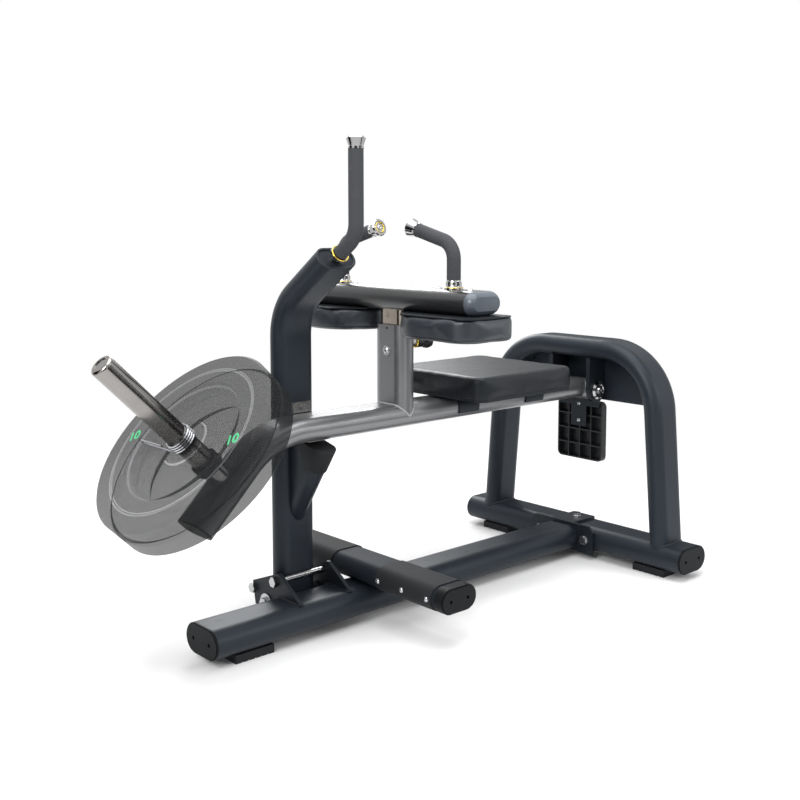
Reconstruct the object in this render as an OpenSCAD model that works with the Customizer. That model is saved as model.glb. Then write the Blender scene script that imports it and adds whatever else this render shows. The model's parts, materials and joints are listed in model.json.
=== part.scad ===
// Seated calf raise machine. A low frame carries an arch at the rear. A lever arm hangs
// from the arch and carries the seat, the knee pads and a horn with two weight plates.
// A catch that swings aside holds the arm up. Sizes are in millimetres.
// X runs forwards from the rear crossbeam, Y to the user's left and Z up from the floor.

/* [Base frame] */
// Width of the two base tubes, which are flat ovals lying down
base_w = 122; // [110:1:130]
// Height of the base tubes
base_h = 67; // [60:1:72]
// Wall of every tube
wall = 3; // [2:0.5:4]
// Distance from the middle of the rear crossbeam to the front end of the main beam
beam_front = 1255; // [1200:5:1350]
// Length of the rear crossbeam over its caps
crossbeam_len = 770; // [720:5:840]
// Height of the rubber feet
foot_h = 19; // [12:1:30]
// Length of a rubber foot
foot_len = 99; // [80:1:120]
// Width of a rubber foot
foot_w = 88; // [70:1:100]
// Distance from an end of a base tube to its foot
foot_inset = 58; // [40:1:90]
// Thickness of the end caps of the base tubes
cap_t = 6; // [4:1:10]
// Thickness of the saddle that joins the main beam to the crossbeam
saddle_t = 8; // [6:1:10]
// Width of the saddle's upright flange
saddle_w = 222; // [190:1:240]
// Width of the saddle's tongue over the crossbeam
tongue_w = 76; // [60:1:90]
// Length of the tongue past the crossbeam's middle
tongue_over = 34; // [30:1:45]

/* [Frame tubes] */
// Width of the arch, arm, post, mast and foot tubes
tube_w = 104; // [96:1:110]
// Thickness of those tubes
tube_t = 54; // [48:1:60]

/* [Arch] */
// Height of the arch
arch_top = 616; // [590:1:680]
// Radius of the arch's bends on the tube's middle
arch_bend = 167; // [140:1:180]
// Lean of the arch's legs from upright, in degrees
arch_lean = 4.5; // [2:0.5:8]
// Distance from the middle plane to a leg's middle where it meets the crossbeam
arch_spread = 301; // [285:1:315]
// Thickness of the panels in the arch's upper corners
web_t = 6; // [4:1:8]
// Height of the panels' lower edge
web_low = 447; // [430:1:470]

/* [Lever pivot] */
// Distance from the crossbeam's middle to the lever's pivot
pivot_x = 10; // [0:1:20]
// Height of the lever's pivot
pivot_z = 470; // [460:1:480]
// Diameter of the sleeve on the arm's end
sleeve_d = 60; // [50:1:64]
// Diameter of the pivot shaft
pivot_shaft_d = 25; // [20:1:30]
// Distance from the middle plane to the inner face of a hanger plate
hanger_y = 60; // [56:1:66]
// Thickness of the hanger plates
hanger_t = 12; // [8:1:14]
// Radius of the hanger plates round the pivot
hanger_r = 35; // [33:1:40]
// Diameter of the chromed pivot caps
pivot_cap_d = 52; // [44:1:58]

/* [Back panel] */
// Width of the ribbed panel behind the seat
panel_w = 158; // [130:1:180]
// Height of the panel
panel_h = 170; // [140:1:172]
// Thickness of the panel with its ribs
panel_t = 20; // [14:1:24]
// Width of the strip that carries the panel
strip_w = 54; // [40:1:70]

/* [Lever arm] */
// Height of the middle of the arm's straight run
arm_z = 476; // [470:1:482]
// Where the straight run ends and the front bend starts
arm_run = 1005; // [990:1:1030]
// Radius of the front bend on the tube's middle
arm_bend = 200; // [180:1:220]
// Angle of the front bend, in degrees
arm_drop = 45.5; // [40:0.5:48]
// Length of the arm's nose past the bend
arm_nose = 165; // [140:1:190]

/* [Weight horn] */
// Distance from the arm's bend to the horn's axis along the nose
horn_s = 48; // [34:1:60]
// Length of the horn from the arm's skin to its tip
horn_len = 374; // [340:1:420]
// Diameter of the horn's sleeve
horn_d = 50; // [28:1:51]
// Diameter of the boss at the horn's root
boss_d = 56; // [54:1:60]
// Length of the boss
boss_len = 33; // [30:1:60]
// Diameter of the rubber bumper on the boss
bumper_d = 62; // [58:1:90]
// Thickness of the bumper
bumper_t = 24; // [16:1:30]

/* [Weight plates] */
// Diameter of the weight plates
plate_d = 450; // [350:1:455]
// Thickness of a plate's rim
plate_t = 43; // [36:1:50]
// Depth of the recess on each face of a plate
plate_recess = 12; // [6:1:15]
// Radius of the recess
recess_r = 150; // [110:1:180]
// Radius of the hub
hub_r = 52; // [46:1:80]

/* [Spring collar] */
// Diameter of the collar's wire
wire_d = 5; // [4:0.5:5.5]
// Number of turns in the coil
turns = 4; // [3:1:5]
// Rise of the coil in one turn
pitch = 6; // [6:0.1:9]
// Length of the collar's two looped handles
lead = 120; // [60:5:130]
// Angle round the horn at which the collar's wire starts, in degrees
collar_turn = 0; // [0:15:345]

/* [Post and knee pads] */
// Distance from the crossbeam's middle to the post
post_x = 704; // [695:1:712]
// Height of the post's top
post_top = 694; // [670:1:700]
// Width of the telescoping tube in the post
slider_w = 84; // [76:1:88]
// Thickness of the telescoping tube
slider_t = 34; // [28:1:38]
// Height of the knee crossbar's underside
bar_z = 731; // [729:1:760]
// Length of the crossbar's tube
bar_len = 560; // [520:1:600]
// Length of the crossbar's rounded end caps
bar_cap_len = 22; // [16:1:26]
// Depth of a knee pad from rear to front
kneepad_l = 177; // [160:1:190]
// Width of a knee pad across the machine
kneepad_w = 286; // [250:1:300]
// Thickness of a knee pad's cushion
kneepad_t = 52; // [40:1:56]
// Distance from the middle plane to a knee pad
kneepad_y = 56; // [54:1:62]
// Distance from the post's middle to a knee pad's rear edge
kneepad_back = 69; // [60:1:80]
// Thickness of the boards under the cushions
board_t = 3; // [3:1:8]
// Height of the locking pin above the arm
pin_rise = 142; // [130:1:150]

/* [Handles] */
// Outer diameter of the rubber grips
grip_d = 32; // [30:1:35]
// Diameter of the handle tubes
handle_d = 25; // [22:1:26]
// Distance from the middle plane to a knee handle's foot
handle_y = 198; // [190:1:205]
// Distance from the middle plane to the tip of a knee handle
handle_tip_y = 55; // [45:1:70]
// Height of a knee handle's straight part above the bar
handle_rise = 67; // [50:1:90]
// Angle of a knee handle's bend, in degrees
handle_turn = 75; // [65:1:85]
// Diameter of the flared handle ends
flare_d = 43; // [40:1:48]

/* [Seat] */
// Length of the seat cushion
seat_l = 362; // [320:1:370]
// Width of the seat cushion
seat_w = 350; // [300:1:380]
// Thickness of the seat cushion
seat_t = 52; // [42:1:60]
// Distance from the crossbeam's middle to the seat's rear edge
seat_x = 228; // [215:1:235]

/* [Catch mast] */
// Distance from the crossbeam's middle to the mast
mast_x = 951; // [945:1:955]
// Distance from the middle plane to the mast, on the far side
mast_y = 85; // [84:1:90]
// Height of the mast's hinge
hinge_z = 60; // [56:1:62]
// Height at which the mast's bend starts
mast_run = 675; // [640:1:700]
// Radius of the mast's bend on the tube's middle
mast_bend = 125; // [110:1:150]
// Angle of the mast's bend, in degrees
mast_turn = 55; // [45:1:60]
// Length of the mast past its bend
mast_nose = 141; // [120:1:160]
// Length of the straight part of the mast's handle
mast_grip_len = 155; // [120:1:180]
// Width of the catch under the arm
catch_w = 54; // [44:1:60]
// Height of the catch's lower end
catch_low = 202; // [190:1:215]
// Slope of the catch's outer edge, in sideways units per unit of height
catch_slope = 0.66; // [0.5:0.02:0.7]

/* [Foot bar] */
// Distance from the crossbeam's middle to the foot bar
footbar_x = 787; // [770:1:800]
// Length of the foot bar over its caps
footbar_len = 610; // [560:1:660]
// Length of a foot sleeve
grip_sleeve_len = 186; // [160:1:190]

/* [Hidden] */
// Smoothness of round forms
$fn = 48;
// Gap between a shaft and what turns or slides on it
run_fit = 0.1;
// Gap between soft or curved pieces of different bodies
rest_gap = 0.3;
// Width of the hairline where a tube's straight run meets its bend, and half the length
// of the ring inside the wall that joins the two
seam = 0.05;
seam_ring = 1;

base_mid = foot_h + base_h / 2;
base_top = foot_h + base_h;
arm_top = arm_z + tube_t / 2;
arm_low = arm_z - tube_t / 2;

// The horn's tip reaches furthest forwards. The model's origin lies on the floor, halfway
// between the tip and the rear crossbeam's back.
horn_round = 7;
front_reach = arm_run + (arm_bend + tube_t / 2) * sin(arm_drop) + horn_s * cos(arm_drop)
    + (horn_len - horn_round) * sin(arm_drop) + (horn_d / 2 - horn_round) * cos(arm_drop) + horn_round;
middle_x = (front_reach - base_w / 2) / 2;
echo(middle_x = middle_x);

// Moves what is drawn from the crossbeam's middle to the model's origin
module centred() {
    translate([-middle_x, 0, 0]) children();
}

// Turns a shape drawn in X and Y so that it runs along X, with its width along Y
module along_x() {
    rotate([90, 0, 90]) children();
}

// Turns a shape drawn in X and Y so that it runs along Y, with its width along X
module along_y() {
    rotate([90, 0, 0]) children();
}

// Repeats a piece on the other side of the middle plane
module both_sides() {
    children();
    mirror([0, 1, 0]) children();
}

// A flat oval with round ends, w wide and h high
module oval(w, h) {
    square([abs(w - h), min(w, h)], center = true);
    for (s = [-1, 1]) translate([s * (w - h) / 2, 0]) circle(d = h);
}

// A flat oval whose round ends lie above and below its middle
module upright_oval(w, h) {
    square([w, h - w], center = true);
    for (s = [-1, 1]) translate([0, s * (h - w) / 2]) circle(d = w);
}

// The section of a frame tube lying on its wide side
module flat_section(w = tube_w, t = tube_t) {
    difference() {
        oval(w, t);
        oval(w - 2 * wall, t - 2 * wall);
    }
}

// A ring in the middle of a frame tube's wall
module wall_ring() {
    difference() {
        oval(tube_w - wall / 2, tube_t - wall / 2);
        oval(tube_w - 3 * wall / 2, tube_t - 3 * wall / 2);
    }
}

// A hexagon head, a washer and a shank along Z, with the head's foot at the origin
module hex_bolt(d, shank) {
    translate([0, 0, 2]) cylinder(d = 1.9 * d, h = 0.65 * d, $fn = 6);
    cylinder(d = 2.3 * d, h = 2);
    translate([0, 0, -shank]) cylinder(d = d, h = shank);
}

// A low domed head with a socket and a shank along Z, with the head's foot at the origin
module dome_bolt(d, shank) {
    difference() {
        intersection() {
            translate([0, 0, -0.55 * d]) sphere(r = 1.15 * d);
            cylinder(r = 1.2 * d, h = d);
        }
        translate([0, 0, 0.3 * d]) cylinder(d = 0.6 * d, h = d, $fn = 6);
    }
    translate([0, 0, -shank]) cylinder(d = d, h = shank);
}

// Base frame

beam_start = base_w / 2 + saddle_t;
crossbeam_tube = crossbeam_len - 2 * cap_t;
saddle_bolt_d = 12;
saddle_bolt_y = 80;

module crossbeam_solid() {
    translate([0, crossbeam_tube / 2, base_mid]) along_y() linear_extrude(crossbeam_tube) oval(base_w, base_h);
}

module rear_crossbeam() {
    color("#262a30") centred() difference() {
        translate([0, crossbeam_tube / 2, base_mid]) along_y()
            linear_extrude(crossbeam_tube) flat_section(base_w, base_h);
        for (s = [-1, 1]) translate([0, s * saddle_bolt_y, base_mid]) along_x()
            cylinder(d = saddle_bolt_d + 2 * run_fit, h = base_w);
        cylinder(d = saddle_bolt_d + 2 * run_fit, h = 2 * base_top);
    }
}

module main_beam() {
    color("#262a30") centred() translate([beam_start, 0, base_mid]) along_x()
        linear_extrude(beam_front - cap_t - beam_start) flat_section(base_w, base_h);
}

// A cap with a flange over the tube's end and a plug inside it, pointing along Z
module base_cap() {
    hole_x = base_w / 4;
    difference() {
        union() {
            linear_extrude(cap_t - 2) oval(base_w, base_h);
            translate([0, 0, cap_t - 2]) linear_extrude(2) oval(base_w - 4, base_h - 4);
            translate([0, 0, -15]) linear_extrude(15) difference() {
                oval(base_w - 2 * wall, base_h - 2 * wall);
                oval(base_w - 2 * wall - 8, base_h - 2 * wall - 8);
            }
        }
        for (s = [-1, 1]) translate([s * hole_x, 0, 1]) cylinder(d = 9, h = cap_t);
    }
}

module beam_caps() {
    color("#17191c") centred() {
        translate([beam_front - cap_t, 0, base_mid]) along_x() base_cap();
        both_sides() translate([0, crossbeam_tube / 2, base_mid]) rotate([-90, 0, 0]) base_cap();
    }
}

// A rubber block with a ribbed tread, standing on the floor and reaching a base tube
module foot_block(l, w) {
    difference() {
        translate([-l / 2, -w / 2, 0]) cube([l, w, foot_h]);
        for (k = [-2:2]) translate([k * l / 6 - 2, -w, -1]) cube([4, 2 * w, 3]);
    }
}

module rubber_feet() {
    color("#101113") centred() {
        translate([beam_front - foot_inset - foot_len / 2, 0, 0]) foot_block(foot_len, foot_w);
        both_sides() translate([0, crossbeam_len / 2 - foot_inset - foot_len / 2, 0])
            rotate([0, 0, 90]) foot_block(foot_len, foot_w);
    }
}

module saddle() {
    flange_low = base_mid - 36;
    color("#24282d") centred() difference() {
        union() {
            translate([base_w / 2, -saddle_w / 2, flange_low])
                cube([saddle_t, saddle_w, base_top + saddle_t - flange_low]);
            translate([-tongue_over, -tongue_w / 2, base_top])
                cube([tongue_over + base_w / 2 + 1, tongue_w, saddle_t]);
        }
        for (s = [-1, 1]) translate([0, s * saddle_bolt_y, base_mid]) along_x()
            cylinder(d = saddle_bolt_d + 2 * run_fit, h = base_w);
        cylinder(d = saddle_bolt_d + 2 * run_fit, h = 2 * base_top);
        for (s = [-1, 1]) translate([0, s * (saddle_w / 2), base_top + saddle_t])
            rotate([0, 90, 0]) cylinder(r = 16, h = 2 * base_w, $fn = 4);
    }
}

module saddle_bolts() {
    color("#c9ccd0") centred() {
        for (s = [-1, 1]) translate([beam_start, s * saddle_bolt_y, base_mid])
            rotate([0, 90, 0]) hex_bolt(saddle_bolt_d, 30);
        translate([0, 0, base_top + saddle_t]) hex_bolt(saddle_bolt_d, 30);
    }
}

// Arch

arch_mid = arch_top - tube_t / 2;
bend_z = arch_mid - arch_bend;
leg_len = (bend_z + arch_bend * sin(arch_lean) - base_mid) / cos(arch_lean);
bend_y = arch_spread - arch_bend * cos(arch_lean)
    - (bend_z + arch_bend * sin(arch_lean) - base_top) * tan(arch_lean);

// The leg and the bend of the arch's left half, as a solid or as the hollow inside it
module arch_side(inner) {
    grow = inner ? -2 * wall : 0;
    rotate([0, 0, arch_lean]) {
        rotate_extrude(angle = 90 - arch_lean) translate([arch_bend, 0])
            upright_oval(tube_t + grow, tube_w + grow);
        translate([arch_bend, 0, 0]) rotate([90, 0, 0])
            linear_extrude(leg_len) upright_oval(tube_t + grow, tube_w + grow);
    }
}

// The left half of the arch, from the middle plane to the crossbeam
module arch_half() {
    translate([0, bend_y, bend_z]) along_x() {
        difference() {
            arch_side(false);
            arch_side(true);
        }
        translate([-bend_y, arch_bend, 0]) rotate([0, 90, 0]) {
            linear_extrude(bend_y - seam) flat_section();
            translate([0, 0, bend_y - seam_ring]) linear_extrude(2 * seam_ring) wall_ring();
        }
    }
}

module arch() {
    color("#262a30") centred() difference() {
        both_sides() arch_half();
        crossbeam_solid();
    }
}

// The space between the arch's legs and under its top, as a plate of the given thickness
module arch_opening(t) {
    inner_r = arch_bend - tube_t / 2;
    leg_in = bend_y + inner_r * cos(arch_lean);
    leg_z = bend_z + inner_r * sin(arch_lean);
    low_in = leg_in + (leg_z - web_low) * tan(arch_lean);
    along_x() linear_extrude(t) {
        for (s = [-1, 1]) translate([s * bend_y, bend_z]) circle(r = inner_r, $fn = 96);
        polygon([[-bend_y, bend_z + inner_r], [bend_y, bend_z + inner_r], [bend_y, web_low],
            [-bend_y, web_low]]);
        for (s = [-1, 1]) polygon([[0, web_low], [s * low_in, web_low], [s * leg_in, leg_z],
            [0, leg_z]]);
    }
}

module arch_webs() {
    color("#24282d") centred() difference() {
        translate([pivot_x - web_t, 0, 0]) arch_opening(web_t);
        translate([-base_w, -2 * arch_spread, 0]) cube([2 * base_w, 4 * arch_spread, web_low]);
        translate([-base_w, -hanger_y - hanger_t, 0])
            cube([2 * base_w, 2 * (hanger_y + hanger_t), arch_top]);
        translate([pivot_x, arch_spread, pivot_z]) along_y()
            cylinder(d = pivot_cap_d + 2 * rest_gap, h = 2 * arch_spread);
    }
}

// Lever pivot

module hanger_plates() {
    hanger_high = arch_top - tube_t;
    color("#24282d") centred() both_sides() difference() {
        translate([pivot_x, hanger_y + hanger_t, pivot_z]) along_y() linear_extrude(hanger_t) {
            circle(r = hanger_r);
            translate([-hanger_r, 0]) square([2 * hanger_r, hanger_high - pivot_z]);
        }
        translate([pivot_x, 2 * hanger_y, pivot_z]) along_y()
            cylinder(d = pivot_shaft_d + 2 * run_fit, h = 2 * hanger_y);
    }
}

module pivot_shaft() {
    reach = hanger_y + hanger_t;
    color("#c9ccd0") centred() translate([pivot_x, reach, pivot_z]) along_y()
        cylinder(d = pivot_shaft_d, h = 2 * reach);
}

module pivot_caps() {
    cap_r = pivot_cap_d / 2;
    head_r = 9;
    color("#dfe1e4") centred() both_sides() translate([pivot_x, hanger_y + hanger_t, pivot_z])
        rotate([-90, 0, 0]) rotate_extrude() polygon([[0, 0], [cap_r, 0], [cap_r, 5],
            [cap_r - 5, 10], [cap_r - 9, 10], [cap_r - 11, 8], [head_r + 2, 8], [head_r + 2, 9],
            [head_r, 14], [4, 14], [4, 11], [0, 11]]);
}

// Back panel

panel_top = pivot_z - hanger_r - 3;
strip_t = 6;
strip_low = panel_top - 74;
screw_rise = [9, 58];

module panel_bracket() {
    bar_half = hanger_y + hanger_t;
    color("#2e3238") centred() difference() {
        translate([-strip_t, 0, 0]) along_x() linear_extrude(strip_t) {
            translate([-strip_w / 2, strip_low]) square([strip_w, panel_top - strip_low + 3]);
            translate([-bar_half, panel_top - 14]) square([2 * bar_half, hanger_r]);
        }
        translate([pivot_x, 2 * hanger_y, pivot_z]) along_y() cylinder(r = hanger_r, h = 4 * hanger_y);
        translate([-base_w, -hanger_y - hanger_t - 1, pivot_z - hanger_r + 6])
            cube([2 * base_w, 2 * (hanger_y + hanger_t + 1), hanger_r]);
        for (rise = screw_rise) translate([-base_w, 0, panel_top - rise]) along_x()
            cylinder(d = 6 + 2 * run_fit, h = 2 * base_w);
    }
}

module back_panel() {
    skin = 5;
    rib = 4;
    corner = 15;
    color("#1b1d20") centred() difference() {
        translate([-strip_t - panel_t, 0, panel_top - panel_h]) along_x() {
            linear_extrude(skin) panel_outline(corner);
            linear_extrude(panel_t) {
                difference() {
                    panel_outline(corner);
                    translate([0, rib]) panel_outline(corner - rib, rib);
                }
                intersection() {
                    panel_outline(corner);
                    union() {
                        for (y = [-panel_w / 4, 0, panel_w / 4])
                            translate([y - rib / 2, 0]) square([rib, panel_h]);
                        for (z = [panel_h / 4, panel_h / 2, 3 * panel_h / 4])
                            translate([-panel_w / 2, z - rib / 2]) square([panel_w, rib]);
                    }
                }
            }
            for (rise = screw_rise) translate([0, panel_h - rise, 0]) cylinder(d = 16, h = panel_t);
        }
        for (rise = screw_rise) translate([-strip_t - panel_t + skin, 0, panel_top - rise]) along_x()
            cylinder(d = 6 + 2 * run_fit, h = panel_t);
    }
}

// The panel's outline with rounded corners, drawn in from its edge by the inset
module panel_outline(corner, inset = 0) {
    w = panel_w - 2 * inset;
    h = panel_h - 2 * inset;
    translate([-w / 2 + corner, 0]) square([w - 2 * corner, h]);
    translate([-w / 2, corner]) square([w, h - 2 * corner]);
    for (x = [-w / 2 + corner, w / 2 - corner]) {
        for (y = [corner, h - corner]) translate([x, y]) circle(r = corner);
    }
}

module panel_screws() {
    color("#c9ccd0") centred() for (rise = screw_rise) translate([0, 0, panel_top - rise])
        rotate([0, 90, 0]) dome_bolt(6, 18);
}

// Foot bar

footbar_z = base_top + tube_t / 2;
footbar_tube = footbar_len - 30;
foot_sleeve_t = 2.5;
foot_sleeve_y = 82;

foot_screw_step = grip_sleeve_len / 2 - 12;

// Repeats what is drawn with Z out of the foot bar's front at each of its screws
module at_foot_screws() {
    both_sides() for (k = [0:2]) translate([footbar_x + tube_w / 2 + foot_sleeve_t,
        foot_sleeve_y + 10 + k * foot_screw_step, footbar_z]) rotate([0, 90, 0]) children();
}

module foot_screw_holes() {
    at_foot_screws() translate([0, 0, -12]) cylinder(d = 6 + 2 * run_fit, h = 20);
}

module foot_bar() {
    color("#262a30") centred() difference() {
        translate([footbar_x, footbar_tube / 2, footbar_z]) along_y()
            linear_extrude(footbar_tube) flat_section();
        foot_screw_holes();
    }
}

// An end cap with a collar round the tube, a raised face and a plug, pointing along Z
module foot_bar_cap() {
    difference() {
        union() {
            translate([0, 0, -12]) linear_extrude(24) oval(tube_w + 4, tube_t + 4);
            translate([0, 0, 12]) linear_extrude(3) oval(tube_w - 2, tube_t - 2);
        }
        translate([0, 0, -13]) linear_extrude(13) oval(tube_w + 2 * run_fit, tube_t + 2 * run_fit);
        for (s = [-1, 1]) translate([s * tube_w / 4, 0, 8]) cylinder(d = 8, h = 10);
    }
    translate([0, 0, -12]) linear_extrude(13) oval(tube_w - 2 * wall - 1, tube_t - 2 * wall - 1);
}

module foot_bar_caps() {
    color("#17191c") centred() both_sides() translate([footbar_x, footbar_tube / 2, footbar_z])
        rotate([-90, 0, 0]) foot_bar_cap();
}

module foot_bar_sleeves() {
    color("#1b1d20") centred() difference() {
        both_sides() translate([footbar_x, foot_sleeve_y + grip_sleeve_len, footbar_z]) along_y()
            linear_extrude(grip_sleeve_len) difference() {
                oval(tube_w + 2 * foot_sleeve_t, tube_t + 2 * foot_sleeve_t);
                oval(tube_w, tube_t);
            }
        foot_screw_holes();
    }
}

module foot_bar_screws() {
    color("#b9bcc0") centred() at_foot_screws() dome_bolt(6, foot_sleeve_t + wall + 1);
}

// Mast hinge

ear_gap = 66;
ear_t = 10;
rod_d = 14;
near_rod = [-mast_y + tube_t / 2 + rod_d / 2 + 0.2, 118];
far_rod = [-mast_y - 50, 84];
hinge_shaft_d = 16;
hinge_sleeve_d = 38;

// The outline of an ear plate in Y and Z, standing on the beam and hanging past its far side
module ear_outline() {
    far = -mast_y - 56;
    difference() {
        union() {
            polygon([[far, 100], [-44, 138], [-36, 138], [44, base_top], [-mast_y - 36, 46],
                [-mast_y - 46, 46]]);
            translate([-mast_y, hinge_z]) circle(r = 26);
        }
        translate([0, base_mid]) oval(base_w, base_h);
    }
}

module ear_plates() {
    color("#24282d") centred() for (x = [mast_x + ear_gap, mast_x - ear_gap - ear_t]) difference() {
        translate([x, 0, 0]) along_x() linear_extrude(ear_t) ear_outline();
        for (rod = [near_rod, far_rod]) translate([x - 1, rod[0], rod[1]]) along_x()
            cylinder(d = rod_d + 2 * run_fit, h = ear_t + 2);
        translate([x - 1, -mast_y, hinge_z]) along_x()
            cylinder(d = hinge_shaft_d + 2 * run_fit, h = ear_t + 2);
    }
}

// A rod along X through both ear plates, with a head in front and a nut behind
module ear_rod(d, y, z, head) {
    x_back = mast_x - ear_gap - ear_t;
    x_front = mast_x + ear_gap + ear_t;
    translate([x_back - head, y, z]) along_x() cylinder(d = d, h = x_front - x_back + 2 * head);
    translate([x_front, y, z]) along_x() difference() {
        cylinder(d = 1.7 * d, h = head, $fn = 6);
        translate([0, 0, head - 3]) cylinder(d = 0.8 * d, h = 4, $fn = 6);
    }
    translate([x_back - head + 1, y, z]) along_x() cylinder(d = 1.7 * d, h = head - 1, $fn = 6);
}

module stop_rods() {
    color("#d5d7da") centred() {
        ear_rod(rod_d, near_rod[0], near_rod[1], 9);
        ear_rod(rod_d, far_rod[0], far_rod[1], 9);
    }
}

module hinge_bolt() {
    x_front = mast_x + ear_gap + ear_t;
    x_back = mast_x - ear_gap - ear_t;
    color("#d5d7da") centred() {
        ear_rod(hinge_shaft_d, -mast_y, hinge_z, 12);
        translate([x_front, -mast_y, hinge_z]) along_x() cylinder(d = 44, h = 3);
        translate([x_back - 3, -mast_y, hinge_z]) along_x() cylinder(d = 44, h = 3);
    }
}

// Lever arm

// Moves what is drawn at the arm's bend end, with X pointing down the nose, to its place
module at_nose() {
    translate([arm_run, 0, arm_z - arm_bend]) rotate([0, arm_drop, 0]) translate([0, 0, arm_bend])
        children();
}

// The arm's front bend and its nose, with the section given standing on its narrow side
module arm_front_of() {
    translate([arm_run, 0, arm_z - arm_bend]) rotate([0, arm_drop, 0]) rotate([90, 0, 0])
        rotate([0, 0, 90]) {
            rotate_extrude(angle = arm_drop) translate([arm_bend, 0]) children();
            translate([arm_bend, 0, 0]) rotate([90, 0, 0]) linear_extrude(arm_nose) children();
        }
}

module lever_arm() {
    start = pivot_x + 0.4 * sleeve_d;
    slim = 2 * wall;
    color("#55565a") centred() difference() {
        union() {
            translate([start, 0, arm_z]) along_x() linear_extrude(arm_run - seam - start) flat_section();
            translate([arm_run - seam_ring, 0, arm_z]) along_x() linear_extrude(2 * seam_ring) wall_ring();
            difference() {
                arm_front_of() upright_oval(tube_t, tube_w);
                arm_front_of() upright_oval(tube_t - slim, tube_w - slim);
            }
        }
        translate([pivot_x, hanger_y, pivot_z]) along_y() cylinder(d = sleeve_d, h = 2 * hanger_y);
    }
}

module pivot_sleeve() {
    half = hanger_y - 2;
    color("#55565a") centred() translate([pivot_x, half, pivot_z]) along_y() difference() {
        cylinder(d = sleeve_d, h = 2 * half);
        translate([0, 0, -1]) cylinder(d = pivot_shaft_d + 14, h = 2 * half + 2);
    }
}

module pivot_bushings() {
    bore_d = pivot_shaft_d + 2 * run_fit;
    shell_d = pivot_shaft_d + 14;
    len = 40;
    color("#8a7a55") centred() both_sides() translate([pivot_x, hanger_y - 0.5, pivot_z]) along_y() difference() {
        union() {
            cylinder(d = shell_d, h = len);
            cylinder(d = sleeve_d - 6, h = 1.5);
        }
        translate([0, 0, -1]) cylinder(d = bore_d, h = len + 2);
    }
}

module arm_cap() {
    color("#17191c") centred() at_nose() translate([arm_nose, 0, 0]) along_x() {
        linear_extrude(4) oval(tube_w - 1, tube_t - 1);
        translate([0, 0, -14]) linear_extrude(14) oval(tube_w - 2 * wall - 1, tube_t - 2 * wall - 1);
    }
}

strip_x = mast_x - catch_w / 2;
strip_len = catch_w + 7;
strip_half = 24;
strip_thick = 2;

module wear_strip() {
    color("#c9ccd0") centred() translate([strip_x, -strip_half, arm_low - strip_thick])
        cube([strip_len, 2 * strip_half, strip_thick]);
}

// Weight horn

// Moves what is drawn along Z to the horn's axis, from the arm's skin to the horn's tip
module on_horn() {
    at_nose() translate([horn_s, 0, tube_t / 2]) children();
}

bumper_s = boss_len;
hub_t = plate_t - 2 * plate_recess;
inner_plate_s = bumper_s + bumper_t - plate_recess;
outer_plate_s = inner_plate_s + plate_t;
collar_s = outer_plate_s + plate_recess + hub_t;

module horn() {
    r = horn_d / 2;
    round = horn_round;
    color("#e2e4e6") centred() on_horn() difference() {
        union() {
            translate([0, 0, boss_len]) cylinder(r = r, h = horn_len - boss_len - round);
            translate([0, 0, horn_len - round]) rotate_extrude() {
                square([r - round, round]);
                intersection() {
                    translate([r - round, 0]) circle(r = round);
                    square([r, round]);
                }
            }
        }
        translate([0, 0, horn_len - 2]) cylinder(r = r - round - 3, h = 3);
        translate([0, 0, boss_len - 1]) cylinder(d = 26, h = horn_len - boss_len - 20);
    }
}

module horn_boss() {
    color("#dcdee1") centred() on_horn() {
        cylinder(d = boss_d, h = boss_len);
        translate([0, 0, boss_len]) cylinder(d = 25.8, h = 60);
    }
}

module horn_bumper() {
    color("#17191c") centred() on_horn() translate([0, 0, bumper_s]) difference() {
        cylinder(d = bumper_d, h = bumper_t);
        translate([0, 0, -1]) cylinder(d = horn_d + 2 * run_fit, h = bumper_t + 2);
    }
}

// A round plate with a raised rim and a hub, lying on its back face at the origin
module weight_plate() {
    r = plate_d / 2;
    bore = horn_d / 2 + run_fit;
    rec = plate_recess;
    t = plate_t;
    edge = 5;
    groove = r - 42;
    rotate_extrude($fn = 96) polygon([[bore, rec], [hub_r, rec], [hub_r + 4, rec + 4],
        [recess_r - 12, rec + 4], [recess_r, 0], [groove - 3, 0], [groove, 2], [groove + 3, 0],
        [r - edge, 0], [r, edge], [r, t - edge], [r - edge, t], [groove + 3, t], [groove, t - 2],
        [groove - 3, t], [recess_r, t], [recess_r - 12, t - rec - 4], [hub_r + 4, t - rec - 4],
        [hub_r, t - rec], [bore, t - rec]]);
}

module inner_plate() {
    color([0.42, 0.42, 0.43]) centred() on_horn() translate([0, 0, inner_plate_s + rest_gap]) weight_plate();
}

module outer_plate() {
    color([0.46, 0.46, 0.47]) centred() on_horn() translate([0, 0, outer_plate_s + 2 * rest_gap]) weight_plate();
}

// Spring collar

coil_r = horn_d / 2 + wire_d / 2 + 0.5;
coil_foot = collar_s + wire_d / 2 + 3 * rest_gap;
curl_steps = 24;
wire_sides = 6;
coil_start = collar_turn;
coil_end = coil_start + 360 * turns - 180;
curl_angles = [for (i = [0:(coil_end - coil_start) * curl_steps / 360]) coil_start + 360 * i / curl_steps];
loop_r = 6;
loop_steps = 8;

// The collar's middle line round the horn, at an angle of its turn
function coil_point(a) = [coil_r * cos(a), coil_r * sin(a),
    coil_foot + pitch * (a - coil_start) / 360];
function coil_dir(a) = [-sin(a), cos(a), 0];

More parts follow.
